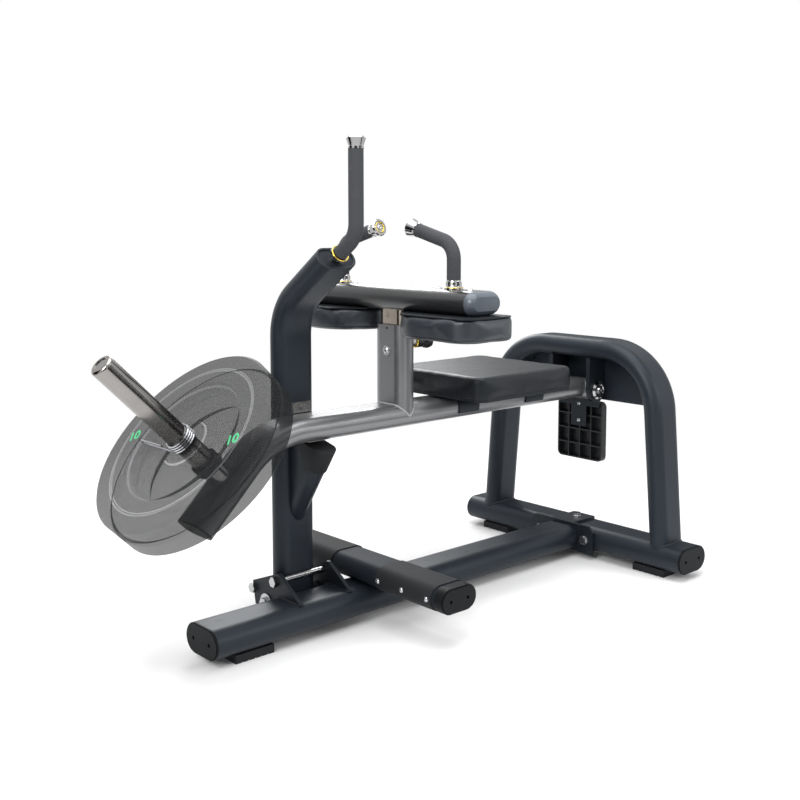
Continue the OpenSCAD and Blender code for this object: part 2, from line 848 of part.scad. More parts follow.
// A handle's middle line from the coil's end: straight out, round a half loop and back
function handle_line(a, way) = let (p = coil_point(a), d = way * coil_dir(a), up = [0, 0, 1])
    concat([p + lead * d],
        [for (i = [1:loop_steps]) let (b = 180 * i / loop_steps)
            p + (lead + loop_r * sin(b)) * d + loop_r * (1 - cos(b)) * up],
        [p + (lead / 3) * d + 2 * loop_r * up]);
function reversed(list) = [for (i = [len(list) - 1:-1:0]) list[i]];
coil_line = concat(reversed(handle_line(coil_start, -1)), [for (a = curl_angles) coil_point(a)],
    handle_line(coil_end, 1));
coil_gap = min([for (i = [0:len(coil_line) - 1]) for (j = [i + curl_steps / 2:len(coil_line) - 1])
    norm(coil_line[i] - coil_line[j]) - wire_d]);
echo(least_gap_of_the_coil = coil_gap);

// The direction of the middle line at one of its points, and the side direction across it
function line_dir(i) = let (n = len(coil_line) - 1, d = coil_line[min(i + 1, n)] - coil_line[max(i - 1, 0)])
    d / norm(d);
function line_side(i) = let (p = coil_line[i], n = len(curl_angles), k = i - loop_steps - 2,
    a = curl_angles[max(0, min(n - 1, k))]) [cos(a), sin(a), 0];

// A ring of the wire round one point of the middle line
function wire_ring(i) = let (d = line_dir(i), side = line_side(i), up = cross(d, side))
    [for (k = [0:wire_sides - 1]) let (b = 360 * k / wire_sides)
        coil_line[i] + wire_d / 2 * (cos(b) * side + sin(b) * up)];

module coil_tube() {
    n = len(coil_line);
    m = wire_sides;
    points = [for (i = [0:n - 1]) each wire_ring(i)];
    walls = [for (i = [0:n - 2]) for (k = [0:m - 1]) let (j = (k + 1) % m)
        each [[i * m + k, i * m + j, (i + 1) * m + j], [i * m + k, (i + 1) * m + j, (i + 1) * m + k]]];
    starts = [for (k = [1:m - 2]) [0, k + 1, k]];
    ends = [for (k = [1:m - 2]) [(n - 1) * m, (n - 1) * m + k, (n - 1) * m + k + 1]];
    polyhedron(points, concat(walls, starts, ends));
}

module spring_collar() {
    color("#4a4c50") centred() on_horn() coil_tube();
}

// Post and slider

module post() {
    hole_z = post_top - 8;
    color("#55565a") centred() difference() {
        translate([post_x, 0, arm_z]) rotate([0, 0, 90]) linear_extrude(post_top - arm_z) flat_section();
        translate([post_x - tube_w, 0, arm_z]) along_x() linear_extrude(2 * tube_w) oval(tube_w, tube_t);
        translate([post_x, 0, hole_z]) along_x() cylinder(d = 6, h = tube_w);
        translate([post_x, 0, pin_z]) rotate([0, -90, 0]) cylinder(d = pin_thread_d, h = tube_w);
        translate([post_x, 0, guide_z]) along_x() cylinder(d = 8 + 2 * run_fit, h = tube_w);
    }
}

bush_len = 40;
pin_z = arm_top + pin_rise;
pin_thread_d = 18;
pin_d = 10;
guide_z = post_top - 62;

module post_bushing() {
    color("#17191c") centred() translate([post_x, 0, post_top - bush_len]) rotate([0, 0, 90]) difference() {
        linear_extrude(bush_len) oval(tube_w - 2 * wall, tube_t - 2 * wall);
        translate([0, 0, -1]) linear_extrude(bush_len + 2)
            oval(slider_w + 2 * run_fit, slider_t + 2 * run_fit);
        translate([0, 0, bush_len - 8]) rotate([90, 0, 0]) cylinder(d = 6, h = tube_w);
    }
}

module guide_bolt() {
    color("#d5d7da") centred() translate([post_x + tube_t / 2, 0, guide_z]) rotate([0, 90, 0]) {
        cylinder(d = 24, h = 2);
        translate([0, 0, 2]) dome_bolt(8, 2 + wall + 1);
    }
}

module pin_body() {
    back = post_x - tube_t / 2;
    color("#b9bcc0") centred() translate([back, 0, pin_z]) rotate([0, -90, 0]) difference() {
        union() {
            cylinder(d = 26, h = 10, $fn = 6);
            translate([0, 0, 10]) cylinder(d = 22, h = 32);
            translate([0, 0, -wall]) cylinder(d = pin_thread_d - 2 * run_fit, h = wall);
        }
        translate([0, 0, -wall - 1]) cylinder(d = pin_d + 2 * run_fit, h = 60);
    }
}

module pin_plunger() {
    tip = post_x - slider_t / 2 + wall + 1;
    back = post_x - tube_t / 2 - 42;
    color("#d5d7da") centred() translate([tip, 0, pin_z]) rotate([0, -90, 0]) cylinder(d = pin_d, h = tip - back + 20);
}

module pin_knob() {
    back = post_x - tube_t / 2 - 42 - rest_gap;
    color("#17191c") centred() translate([back, 0, pin_z]) rotate([0, -90, 0]) difference() {
        rotate_extrude() polygon([[0, 0], [13, 0], [13, 15], [9, 17], [9, 20], [16, 26], [17, 34],
            [15, 43], [9, 47], [0, 48]]);
        translate([0, 0, -1]) cylinder(d = pin_d, h = 21 - rest_gap);
    }
}

slider_low = arm_top + 37;
slider_travel = [30, 90];

module slider_tube() {
    color("#8b8177") centred() difference() {
        translate([post_x, 0, slider_low]) rotate([0, 0, 90]) linear_extrude(bar_z - slider_low)
            flat_section(slider_w, slider_t);
        for (dz = [-slider_travel[1], slider_travel[0]]) translate([post_x, 0, pin_z + dz])
            rotate([0, -90, 0]) cylinder(d = pin_d + 1, h = tube_w);
        translate([post_x - tube_w, -(pin_d + 1) / 2, pin_z - slider_travel[1]])
            cube([tube_w, pin_d + 1, slider_travel[0] + slider_travel[1]]);
    }
}

// Knee bar

bar_mid = bar_z + tube_t / 2;

module knee_bar() {
    color("#55565a") centred() difference() {
        translate([post_x, bar_len / 2, bar_mid]) along_y() linear_extrude(bar_len) flat_section();
        for (y = knee_bolt_y) translate([post_x, y, bar_z - 1])
            cylinder(d = knee_bolt_d + 2 * run_fit, h = tube_w);
    }
}

knee_bolt_d = 8;
knee_bolt_y = [-250, -150, 150, 250];

// A black cap with a full round end, cut flat at its length, and a plug inside the tube
module knee_bar_cap() {
    r = tube_t / 2;
    half = (tube_w - tube_t) / 2;
    intersection() {
        union() {
            for (s = [-1, 1]) translate([s * half, 0, 0]) sphere(r = r);
            translate([-half, 0, 0]) along_x() cylinder(r = r, h = 2 * half);
        }
        linear_extrude(bar_cap_len) square([2 * tube_w, 2 * tube_t], center = true);
    }
    translate([0, 0, -14]) linear_extrude(14) oval(tube_w - 2 * wall - 1, tube_t - 2 * wall - 1);
}

module knee_bar_caps() {
    color("#17191c") centred() both_sides() translate([post_x, bar_len / 2, bar_mid])
        rotate([-90, 0, 0]) knee_bar_cap();
}

kneepad_x = post_x - kneepad_back;
board_inset = 8;

// A flat board with rounded corners under a cushion, from its corner at the origin
module board(l, w, t, r) {
    linear_extrude(t) {
        translate([r, 0]) square([l - 2 * r, w]);
        translate([0, r]) square([l, w - 2 * r]);
        for (x = [r, l - r]) for (y = [r, w - r]) translate([x, y]) circle(r = r);
    }
}

module knee_boards() {
    color("#1b1d20") centred() both_sides() difference() {
        translate([kneepad_x + board_inset, kneepad_y + board_inset, bar_z - board_t])
            board(kneepad_l - 2 * board_inset, kneepad_w - 2 * board_inset, board_t, 30);
        translate([kneepad_x + kneepad_l - board_inset, kneepad_y + board_inset, 0])
            rotate([0, 0, 45]) cube([90, 90, 3 * bar_z], center = true);
        for (y = knee_bolt_y) translate([post_x, y, bar_z - 2 * board_t])
            cylinder(d = knee_bolt_d + 2 * run_fit, h = tube_w);
    }
}

module knee_bolts() {
    color("#d5d7da") centred() for (y = knee_bolt_y) translate([post_x, y, bar_z + tube_t])
        dome_bolt(knee_bolt_d, tube_t + board_t - 1);
}

// Cushions

corner_steps = 5;
side_steps = 4;
draw_in = 2.5;
roll_steps = 4;
crown_steps = 5;

// Points round a cushion of length l and width w. The four radii start at its far front
// corner and go round anticlockwise, and the sides draw in between the corners.
function outline(l, w, radii, inset) =
    let (mid = [[l - radii[0], w - radii[0]], [radii[1], w - radii[1]], [radii[2], radii[2]],
        [l - radii[3], radii[3]]])
    [for (k = [0:3]) let (n = (k + 1) % 4, a = 90 * k, out = [cos(a + 90), sin(a + 90)],
        from = mid[k] + (radii[k] - inset) * out, to = mid[n] + (radii[n] - inset) * out)
        each concat(
            [for (i = [0:corner_steps]) mid[k] + (radii[k] - inset)
                * [cos(a + 90 * i / corner_steps), sin(a + 90 * i / corner_steps)]],
            [for (j = [1:side_steps]) from + (to - from) * j / (side_steps + 1)
                - draw_in * sin(180 * j / (side_steps + 1)) * out])];

// The cushion's side as pairs of inset and height: a rolled foot, a seam and a rolled top
function side_profile(t, roll) = concat(
    [for (i = [0:2]) [4 - 4 * sin(45 * i), 4 - 4 * cos(45 * i)]],
    [[0.5, 0.28 * t - 1.5], [1.8, 0.28 * t], [0.3, 0.28 * t + 1.5]],
    [for (i = [0:roll_steps]) let (a = 90 * i / roll_steps)
        [roll * (1 - cos(a)), t - roll + roll * sin(a)]]);

// The top's rings as pairs of scale and added height, rising to the crown in the middle
function crown_profile(crown) = [for (i = [1:crown_steps]) let (s = 1 - i / (crown_steps + 1))
    [s, crown * (1 - s * s)]];

function ring_at(l, w, radii, inset, z) = [for (p = outline(l, w, radii, inset)) [p[0], p[1], z]];

function scaled_ring(ring, mid, s, z) = [for (p = ring) [mid[0] + s * (p[0] - mid[0]),
    mid[1] + s * (p[1] - mid[1]), z]];

// A crowned cushion standing on the origin plane, with one corner at the origin
module cushion(l, w, t, radii, roll, crown) {
    mid = [l / 2, w / 2];
    flat = t - crown;
    top = ring_at(l, w, radii, roll, flat);
    rings = concat([for (q = side_profile(flat, roll)) ring_at(l, w, radii, q[0], q[1])],
        [for (q = crown_profile(crown)) scaled_ring(top, mid, q[0], flat + q[1])]);
    n = len(top);
    m = len(rings);
    points = concat([for (r = rings) each r], [[mid[0], mid[1], 0], [mid[0], mid[1], t]]);
    walls = [for (i = [0:m - 2]) for (k = [0:n - 1]) let (j = (k + 1) % n)
        each [[i * n + k, (i + 1) * n + j, i * n + j], [i * n + k, (i + 1) * n + k, (i + 1) * n + j]]];
    foot = [for (k = [0:n - 1]) [m * n, k, (k + 1) % n]];
    head = [for (k = [0:n - 1]) [m * n + 1, (m - 1) * n + (k + 1) % n, (m - 1) * n + k]];
    polyhedron(points, concat(walls, foot, head));
}

knee_radii = [62, 52, 40, 128];

// One knee pad, hung upside down under its board on the user's left
module knee_pad() {
    translate([kneepad_x + kneepad_l, kneepad_y, bar_z - board_t]) rotate([0, 180, 0])
        cushion(kneepad_l, kneepad_w, kneepad_t, [knee_radii[1], knee_radii[0], knee_radii[3],
            knee_radii[2]], 10, 3);
}

module knee_pad_left() {
    color("#1f2124") centred() knee_pad();
}

module knee_pad_right() {
    color("#1f2124") centred() mirror([0, 1, 0]) knee_pad();
}

// Handles

handle_bend = 45;
grip_start = 22;

// Follows a handle's middle line in Y and Z with a round bar: up, round the bend and on
module handle_run(d, from, straight, bend, turn, tail) {
    translate([0, 0, from]) cylinder(d = d, h = straight - from);
    translate([0, -bend, straight]) rotate([90, 0, 90]) rotate_extrude(angle = turn)
        translate([bend, 0]) circle(d = d);
    translate([0, -bend, straight]) rotate([turn, 0, 0]) translate([0, bend, 0])
        cylinder(d = d, h = tail);
}

knee_tail = (handle_y - handle_bend * (1 - cos(handle_turn)) - handle_tip_y) / sin(handle_turn);

// Moves what is drawn at a handle's end, with Z along the handle, to its place
module at_handle_end(straight, bend, turn, tail) {
    translate([0, -bend, straight]) rotate([turn, 0, 0]) translate([0, bend, tail]) children();
}

module at_knee_handle() {
    both_sides() translate([post_x, handle_y, bar_z + tube_t]) children();
}

module knee_handles() {
    color("#d5d7da") centred() at_knee_handle() {
        handle_run(handle_d, 0, handle_rise, handle_bend, handle_turn, knee_tail - 22);
        cylinder(d = grip_d, h = grip_start);
    }
}

module knee_grips() {
    color("#3e3e42") centred() at_knee_handle() difference() {
        handle_run(grip_d, grip_start, handle_rise, handle_bend, handle_turn, knee_tail - 28);
        handle_run(handle_d, 0, handle_rise, handle_bend, handle_turn, knee_tail);
    }
}

// A flared end with a ring at its root, along Z from the grip's end
module flared_end(len) {
    root = grip_d / 2 + 1;
    r = flare_d / 2;
    rotate_extrude() polygon([[0, 6], [handle_d / 2, 6], [handle_d / 2, 0], [root, 0], [root, 5],
        [root - 1, 6], [r, len - 3], [r - 3, len], [r - 7, len], [r - 8, len - 2], [0, len - 2]]);
}

module knee_handle_ends() {
    color("#e2c22e") centred() at_knee_handle() {
        difference() {
            cylinder(d = flare_d, h = 4);
            translate([0, 0, -1]) cylinder(d = grip_d, h = 6);
        }
        at_handle_end(handle_rise, handle_bend, handle_turn, knee_tail - 28) flared_end(28);
    }
}

// Locking and seat

bracket_t = 4;
seat_board_t = 8;
seat_low = arm_top + bracket_t + seat_board_t;
seat_radii = [36, 36, 36, 36];

module seat_cushion() {
    color("#1f2124") centred() translate([seat_x, -seat_w / 2, seat_low])
        cushion(seat_l, seat_w, seat_t, seat_radii, 9, 4);
}

seat_board_inset = 6;

module seat_board() {
    inset = seat_board_inset;
    color("#1b1d20") centred() translate([seat_x + inset, -seat_w / 2 + inset, seat_low - seat_board_t])
        board(seat_l - 2 * inset, seat_w - 2 * inset, seat_board_t, seat_radii[0] - inset);
}

bracket_x = [seat_x - 8, seat_x + 240];
bracket_len = 70;

// Two saddles of folded plate that hug the arm and carry the seat's board
module seat_brackets() {
    color("#1f2226") centred() for (x = bracket_x) translate([x, 0, 0]) difference() {
        along_x() linear_extrude(bracket_len) difference() {
            union() {
                translate([-seat_w / 4, arm_top]) square([seat_w / 2, bracket_t]);
                translate([0, arm_z]) oval(tube_w + 2 * bracket_t, tube_t + 2 * bracket_t);
            }
            translate([0, arm_z]) oval(tube_w, tube_t);
            translate([-tube_w, arm_low - tube_t]) square([2 * tube_w, tube_t + 14]);
        }
        for (s = [-1, 1]) translate([bracket_len / 2, s * seat_w / 5, arm_top - 1])
            cylinder(d = 6 + 2 * run_fit, h = 20);
    }
}

module seat_bolts() {
    color("#d5d7da") centred() for (x = bracket_x) for (s = [-1, 1])
        translate([x + bracket_len / 2, s * seat_w / 5, arm_top])
            rotate([180, 0, 0]) dome_bolt(6, bracket_t);
}

// Catch mast

// The mast's tube as a solid, or as the hollow inside it
module mast_solid(inner) {
    grow = inner ? -2 * wall : 0;
    foot = hinge_z + (inner ? 0 : 10);
    translate([mast_x, -mast_y, foot]) linear_extrude(mast_run - foot) oval(tube_w + grow, tube_t + grow);
    translate([mast_x, -mast_y + mast_bend, mast_run]) along_x() rotate([0, 0, 180 - mast_turn]) {
        rotate_extrude(angle = mast_turn) translate([mast_bend, 0])
            upright_oval(tube_t + grow, tube_w + grow);
        translate([mast_bend, 0, 0]) rotate([90, 0, 0])
            linear_extrude(mast_nose) upright_oval(tube_t + grow, tube_w + grow);
    }
}

// Moves what is drawn along Z to the mast's upper end, with Z pointing out of it
module at_mast_end() {
    translate([mast_x, -mast_y + mast_bend, mast_run]) rotate([180 - mast_turn, 0, 0])
        translate([0, mast_bend, 0]) rotate([180, 0, 0]) translate([0, 0, mast_nose]) children();
}

module mast() {
    sleeve = 2 * ear_gap - 4;
    color("#262a30") centred() {
        difference() {
            mast_solid(false);
            mast_solid(true);
            translate([mast_x - ear_gap, -mast_y, hinge_z]) along_x()
                cylinder(d = hinge_sleeve_d, h = 2 * ear_gap);
        }
        translate([mast_x - sleeve / 2, -mast_y, hinge_z]) along_x() difference() {
            cylinder(d = hinge_sleeve_d, h = sleeve);
            translate([0, 0, -1]) cylinder(d = hinge_shaft_d + 2 * run_fit, h = sleeve + 2);
        }
    }
}

module mast_plate() {
    color("#1f2226") centred() at_mast_end() translate([0, 0, -4]) linear_extrude(2)
        oval(tube_w - 2 * wall, tube_t - 2 * wall);
}

mast_stub = 57;
mast_handle_bend = 55;
mast_lean = 90 - mast_turn;
socket = 6;

// Moves a handle drawn along Z to the mast's end plate, bending up from there
module at_mast_handle() {
    at_mast_end() translate([0, 0, -2]) children();
}

module mast_handle() {
    color("#d5d7da") centred() at_mast_handle() {
        handle_run(handle_d, 0, mast_stub, mast_handle_bend, 90 - mast_lean, mast_grip_len + socket);
        cylinder(d = grip_d + 1, h = 14);
    }
}

module mast_grip() {
    color("#3e3e42") centred() at_mast_handle() difference() {
        handle_run(grip_d + 1, grip_start, mast_stub, mast_handle_bend, 90 - mast_lean, mast_grip_len);
        handle_run(handle_d, 0, mast_stub, mast_handle_bend, 90 - mast_lean, mast_grip_len + socket);
    }
}

module mast_handle_end() {
    color("#e2c22e") centred() at_mast_handle() {
        translate([0, 0, 14]) difference() {
            cylinder(d = flare_d, h = 6);
            translate([0, 0, -1]) cylinder(d = handle_d, h = 8);
        }
        at_handle_end(mast_stub, mast_handle_bend, 90 - mast_lean, mast_grip_len) flared_end(26);
    }
}

// Catch under the arm. Its top is an arc round the mast's hinge, so it can swing out
// from under the arm that rests on it.

mast_face = -mast_y + tube_t / 2;
catch_r = norm([mast_y - strip_half, arm_low - strip_thick - hinge_z]) - rest_gap;
cover_t = 3;
cover_gap = 36;
cover_low = 365;
cover_mid = 60;
cover_r = 105;
catch_rise = 246.5;

// The catch's outline in Y and Z, grown outwards by the given amount
module catch_outline(grow) {
    far_z = arm_z;
    edge = mast_face + catch_slope * (far_z - catch_rise);
    intersection() {
        polygon([[mast_face, catch_low - grow], [mast_face + 8 + grow, catch_low],
            [mast_face + 8 + grow, catch_rise + 12], [edge + grow, far_z], [mast_face, far_z]]);
        translate([-mast_y, hinge_z]) circle(r = catch_r - cover_t + grow, $fn = 96);
    }
}

module catch_block() {
    x0 = mast_x - catch_w / 2;
    color("#1f2226") centred() intersection() {
        translate([x0, 0, 0]) along_x() linear_extrude(catch_w) catch_outline(0);
        translate([mast_x, 2 * mast_y, 0]) along_y() linear_extrude(4 * mast_y) {
            translate([0, catch_low + catch_w / 2]) circle(d = catch_w);
            translate([-catch_w / 2, catch_low + catch_w / 2]) square([catch_w, arm_z]);
        }
    }
}

module catch_cover() {
    w = catch_w + 2 * cover_t;
    color("#101113") centred() difference() {
        translate([mast_x - w / 2, 0, 0]) along_x() linear_extrude(w) difference() {
            catch_outline(cover_t);
            translate([mast_face - 1, 0]) square([cover_gap, arm_z]);
            difference() {
                translate([-arm_z, 0]) square([2 * arm_z, arm_z]);
                translate([cover_mid, cover_low + cover_r]) circle(r = cover_r, $fn = 96);
            }
        }
        translate([mast_x - catch_w / 2, 0, 0]) along_x() linear_extrude(catch_w) catch_outline(0);
    }
}

module guide_plate() {
    color("#c9ccd0") centred() {
        translate([mast_x - 33, mast_face, arm_top - 3]) cube([55, 3, 25]);
        translate([mast_x - 10, mast_face + 3, arm_top + 8]) rotate([-90, 0, 0])
            cylinder(d = 12, h = 2);
    }
}

rear_crossbeam();
main_beam();
beam_caps();
rubber_feet();
saddle();
saddle_bolts();
arch();
arch_webs();
hanger_plates();
pivot_shaft();
pivot_caps();
panel_bracket();
back_panel();
panel_screws();
foot_bar();
foot_bar_caps();
foot_bar_sleeves();
foot_bar_screws();
ear_plates();
stop_rods();
hinge_bolt();
lever_arm();
pivot_sleeve();
pivot_bushings();
arm_cap();
wear_strip();
horn();
horn_boss();
horn_bumper();
post();
post_bushing();
guide_bolt();
pin_body();
seat_brackets();
seat_board();
seat_cushion();
seat_bolts();
slider_tube();
knee_bar();
knee_bar_caps();
knee_boards();
knee_pad_left();
knee_pad_right();
knee_bolts();
knee_handles();
knee_grips();
knee_handle_ends();
pin_plunger();
pin_knob();
mast();
mast_plate();
mast_handle();
mast_grip();
mast_handle_end();
catch_block();
catch_cover();
guide_plate();
inner_plate();
outer_plate();
spring_collar();
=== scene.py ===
"""Dresses the seated calf raise machine for its picture: finishes for the modelled parts,
sewn cushions, the arch's panel, the catch, the handles' rings, weld beads, plate numbers and a
studio round them. Every length is in metres, in the frame of the modelled parts."""

import json
import math

import bmesh
import bpy
from bpy.props import FloatProperty, FloatVectorProperty, IntProperty, PointerProperty
from bpy.types import Operator, Panel, PropertyGroup
from mathutils import Matrix, Vector
from mathutils.bvhtree import BVHTree

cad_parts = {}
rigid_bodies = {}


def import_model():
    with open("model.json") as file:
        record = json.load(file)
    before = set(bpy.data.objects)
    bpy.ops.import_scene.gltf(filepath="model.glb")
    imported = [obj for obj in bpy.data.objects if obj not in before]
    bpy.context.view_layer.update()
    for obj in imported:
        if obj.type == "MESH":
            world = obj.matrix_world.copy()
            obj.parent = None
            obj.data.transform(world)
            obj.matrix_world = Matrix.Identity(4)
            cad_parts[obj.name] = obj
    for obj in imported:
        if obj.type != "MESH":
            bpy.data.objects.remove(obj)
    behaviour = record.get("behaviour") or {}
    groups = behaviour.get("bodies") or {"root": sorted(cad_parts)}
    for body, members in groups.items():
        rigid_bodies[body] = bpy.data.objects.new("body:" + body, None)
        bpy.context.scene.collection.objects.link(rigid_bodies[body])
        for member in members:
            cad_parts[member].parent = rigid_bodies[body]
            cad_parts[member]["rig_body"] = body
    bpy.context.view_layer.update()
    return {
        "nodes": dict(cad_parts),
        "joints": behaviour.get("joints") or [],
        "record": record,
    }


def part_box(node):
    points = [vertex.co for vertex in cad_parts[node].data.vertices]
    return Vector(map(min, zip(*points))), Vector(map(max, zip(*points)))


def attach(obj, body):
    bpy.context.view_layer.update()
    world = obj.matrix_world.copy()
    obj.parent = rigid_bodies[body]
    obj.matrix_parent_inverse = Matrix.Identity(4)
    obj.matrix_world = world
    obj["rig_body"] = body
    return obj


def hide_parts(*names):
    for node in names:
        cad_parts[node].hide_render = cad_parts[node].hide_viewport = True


bl_info = {
    "name": "Seated calf raise machine",
    "version": (1, 0, 0),
    "blender": (4, 5, 0),
    "location": "View3D > Sidebar > Calf raise",
    "description": "Finishes and soft parts of a seated calf raise machine",
    "category": "Object",
}

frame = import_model()
nodes = frame["nodes"]
joints = {joint["name"]: joint for joint in frame["joints"]}


horn_axis = Vector(joints["outer_plate_spin"]["axis"]).normalized()

# Radii of the handles' flanges, grips and recessed tips, and of their rings and wires
flange_radius = 0.0215
flange_height = 0.004
grip_radius = 0.016
tip_radius = 0.0135
tip_wire = 0.0011
foot_radius = 0.0195
foot_wire = 0.0016
radius_slack = 0.0004

# Opacity of a weight plate's outer sides and of the side that faces the other plate, how much
# of it the walls of its rings lose, and where its rim starts and is full
hull_alpha = 0.60
facing_alpha = 0.06
wall_loss = 0.80
rim_start, rim_full = 0.2155, 0.2175

# How far a cushion's cover stops short of its board's far face
board_edge = 0.0008

# The arch's panel: its lower edge, where the arch starts to bend, and its fit in the arch
panel_low = 0.4385
bend_start = 0.5
panel_thick = 0.006
panel_gap = 0.0004
panel_bite = 0.002

# The locking pin's ring, and the discs in the pivot's caps
pin_radius = 0.011
pin_ring_width = 0.005
cap_rim = 0.0025
cap_head = 0.0095

# Radii and heights of the turned screws, cones and domes
screw_profile = [(0.0, 0.0008), (0.0022, 0.0008), (0.0026, 0.0026), (0.0048, 0.0022),
                 (0.0062, 0.0010), (0.0064, 0.0)]
cone_profile = [(flange_radius - 0.001, 0.0), (flange_radius - 0.004, 0.004),
                (foot_radius - 0.001, 0.010), (grip_radius - 0.0005, 0.018)]
dome_profile = [(0.0, 0.0035), (0.006, 0.0031), (0.010, 0.0018), (tip_radius, 0.0)]

# Half thickness of a stitch and its share of the step, and the numbers' depth and spread
stitch_radius = 0.00055
stitch_share = 0.36
number_depth = 0.0002
number_spread = 0.0008
number_lift = 0.0006

# The angle round the horn of each number, and the way that its top points
number_places = [(math.radians(80), math.radians(-30)), (math.radians(-98), math.radians(-30))]

# What the lamps and cards face, and the strength of the light from the backdrop
studio_target = Vector((0.1, 0.0, 0.5))
soft_light = 0.40

# Each softbox: its name, place, width and share of the lamp power
lamps = [
    ("top_box", (0.3, 0.2, 2.9), 2.6, 1.0),
    ("key_box", (2.9, 1.2, 2.3), 1.4, 0.85),
    ("fill_box", (-1.6, 2.9, 1.5), 1.5, 0.55),
    ("rear_box", (-1.7, -2.6, 2.2), 1.6, 0.7),
]

# Each dark card of the studio: its name, place, width, height and tone
cards = [
    ("card_left", (2.6, -1.3, 0.8), 2.2, 2.2, 0.012),
    ("card_right", (-1.2, 2.7, 0.8), 2.2, 2.2, 0.012),
    ("card_back", (-3.0, -2.0, 0.9), 2.4, 1.8, 0.03),
    ("card_camera", (2.3, 2.6, 1.0), 2.6, 1.7, 0.11),
]

# Radius and half width of each painted highlight, a pale line round the weight plates where their
# faces step
ring_highlight_lines = [(0.183, 0.0030), (0.144, 0.0022), (0.054, 0.0022)]

# Radius and half width of the upright walls of those steps, which would read too dark
wall_lines = [(0.180, 0.0012), (0.186, 0.0012), (0.054, 0.0024)]

# Parts whose finish differs from that of their material slot
own_finish = {"inner_plate": "inner_plate", "outer_plate": "outer_plate",
              "knee_bar": "bar_coat", "knee_bar_caps": "bar_cap",
              "spring_collar": "collar_wire", "knee_boards": "upholstery",
              "seat_board": "upholstery", "horn": "horn_steel", "foot_bar": "foot_bar_coat"}

# Each weld: its name, the part with the rim, the part that it lies on, body, finish and lines
weld_pairs = [
    ("post", "post", "lever_arm", "lever", "arm_weld", 1),
    ("arch", "arch", "rear_crossbeam", "base_frame", "weld", 2),
    ("ears", "ear_plates", "main_beam", "base_frame", "weld", 2),
    ("rim", "mast_plate", "mast", "catch_mast", "weld", 1),
]


# Sizes and colours that a user would change

colour_kind = {"subtype": "COLOR", "size": 3, "min": 0, "max": 1}
length_kind = {"subtype": "DISTANCE", "unit": "LENGTH"}


class FinishColours(PropertyGroup):
    """Colours of the machine's finishes"""
    frame_coat: FloatVectorProperty(
        name="Frame coat", description="Textured powder coat of the frame",
        default=(0.012, 0.0155, 0.021), **colour_kind)
    plate_coat: FloatVectorProperty(
        name="Bracket coat", description="Powder coat of the flat brackets and plates",
        default=(0.008, 0.010, 0.0135), **colour_kind)
    arm_coat: FloatVectorProperty(
        name="Arm coat", description="Metallic coat of the lever arm, post and knee bar",
        default=(0.20, 0.203, 0.21), **colour_kind)
    leather: FloatVectorProperty(
        name="Upholstery", description="Leather of the seat and the knee pads",
        default=(0.005, 0.006, 0.008), **colour_kind)
    thread: FloatVectorProperty(
        name="Thread", description="Stitching of the knee pads",
        default=(0.045, 0.050, 0.060), **colour_kind)
    grip: FloatVectorProperty(
        name="Grip rubber", description="Rubber of the handles' grips",
        default=(0.052, 0.054, 0.060), **colour_kind)
    gold: FloatVectorProperty(
        name="Gold ring", description="Anodised rings on the handles",
        default=(0.83, 0.60, 0.10), **colour_kind)
    number_green: FloatVectorProperty(
        name="Plate numbers", description="Paint of the weight plates' numbers",
        default=(0.07, 0.52, 0.22), **colour_kind)


class CushionSizes(PropertyGroup):
    """How the cushions are sewn and filled"""
    voxel: FloatProperty(
        name="Mesh step", description="Size of the mesh that the filling pushes out",
        default=0.005, min=0.003, max=0.01, **length_kind)
    shrink: FloatProperty(
        name="Start inset", description="How far the cover starts inside its finished outline",
        default=0.0018, min=0, max=0.01, **length_kind)
    swell: FloatProperty(
        name="Swell", description="The furthest that the filling may push the cover",
        default=0.0035, min=0, max=0.02, **length_kind)
    pressure: FloatProperty(
        name="Filling pressure", description="Pressure of the foam on its cover",
        default=3.0, min=0, max=10)
    settle_frames: IntProperty(
        name="Settling steps", description="Steps in which the cover settles",
        default=20, min=5, max=40)
    seam_width: FloatProperty(
        name="Seam", description="Width of the pressed seam line",
        default=0.0016, min=0.0005, max=0.004, **length_kind)
    stitch_step: FloatProperty(
        name="Stitch step", description="Distance from stitch to stitch",
        default=0.0055, min=0.003, max=0.01, **length_kind)


class FittingSizes(PropertyGroup):
    """Sizes of the small fittings"""
    weld: FloatProperty(
        name="Weld bead", description="Radius of the weld beads",
        default=0.003, min=0.001, max=0.006, **length_kind)
    number_height: FloatProperty(
        name="Number height", description="Height of the numbers on the weight plates",
        default=0.024, min=0.02, max=0.028, **length_kind)
    number_radius: FloatProperty(
        name="Number place", description="Distance from the horn's axis to the numbers",
        default=0.165, min=0.16, max=0.168, **length_kind)


class StudioSizes(PropertyGroup):
    """The camera and the lamps"""
    eye: FloatVectorProperty(
        name="Camera place", description="Where the camera stands", subtype="TRANSLATION",
        unit="LENGTH", size=3, default=(1.6965, 1.907, 0.929))
    aim: FloatVectorProperty(
        name="Camera aim", description="The direction in which the camera looks",
        subtype="DIRECTION", size=3, default=(-0.6662, -0.7393, -0.0978))
    lens: FloatProperty(
        name="Lens", description="Focal length on a 36 mm frame", unit="CAMERA", default=48.15,
        min=20, max=120)
    shift: FloatProperty(
        name="Upright shift", description="Upright shift of the lens", default=-0.0868, min=-0.3,
        max=0.3)
    lamp_power: FloatProperty(
        name="Lamp power", description="Power of the softbox above", unit="POWER", default=80,
        min=0, max=400)
    floor_radius: FloatProperty(
        name="Floor radius", description="Where the floor has faded into the backdrop",
        default=2.6, min=1.5, max=6, **length_kind)


# Shader maths

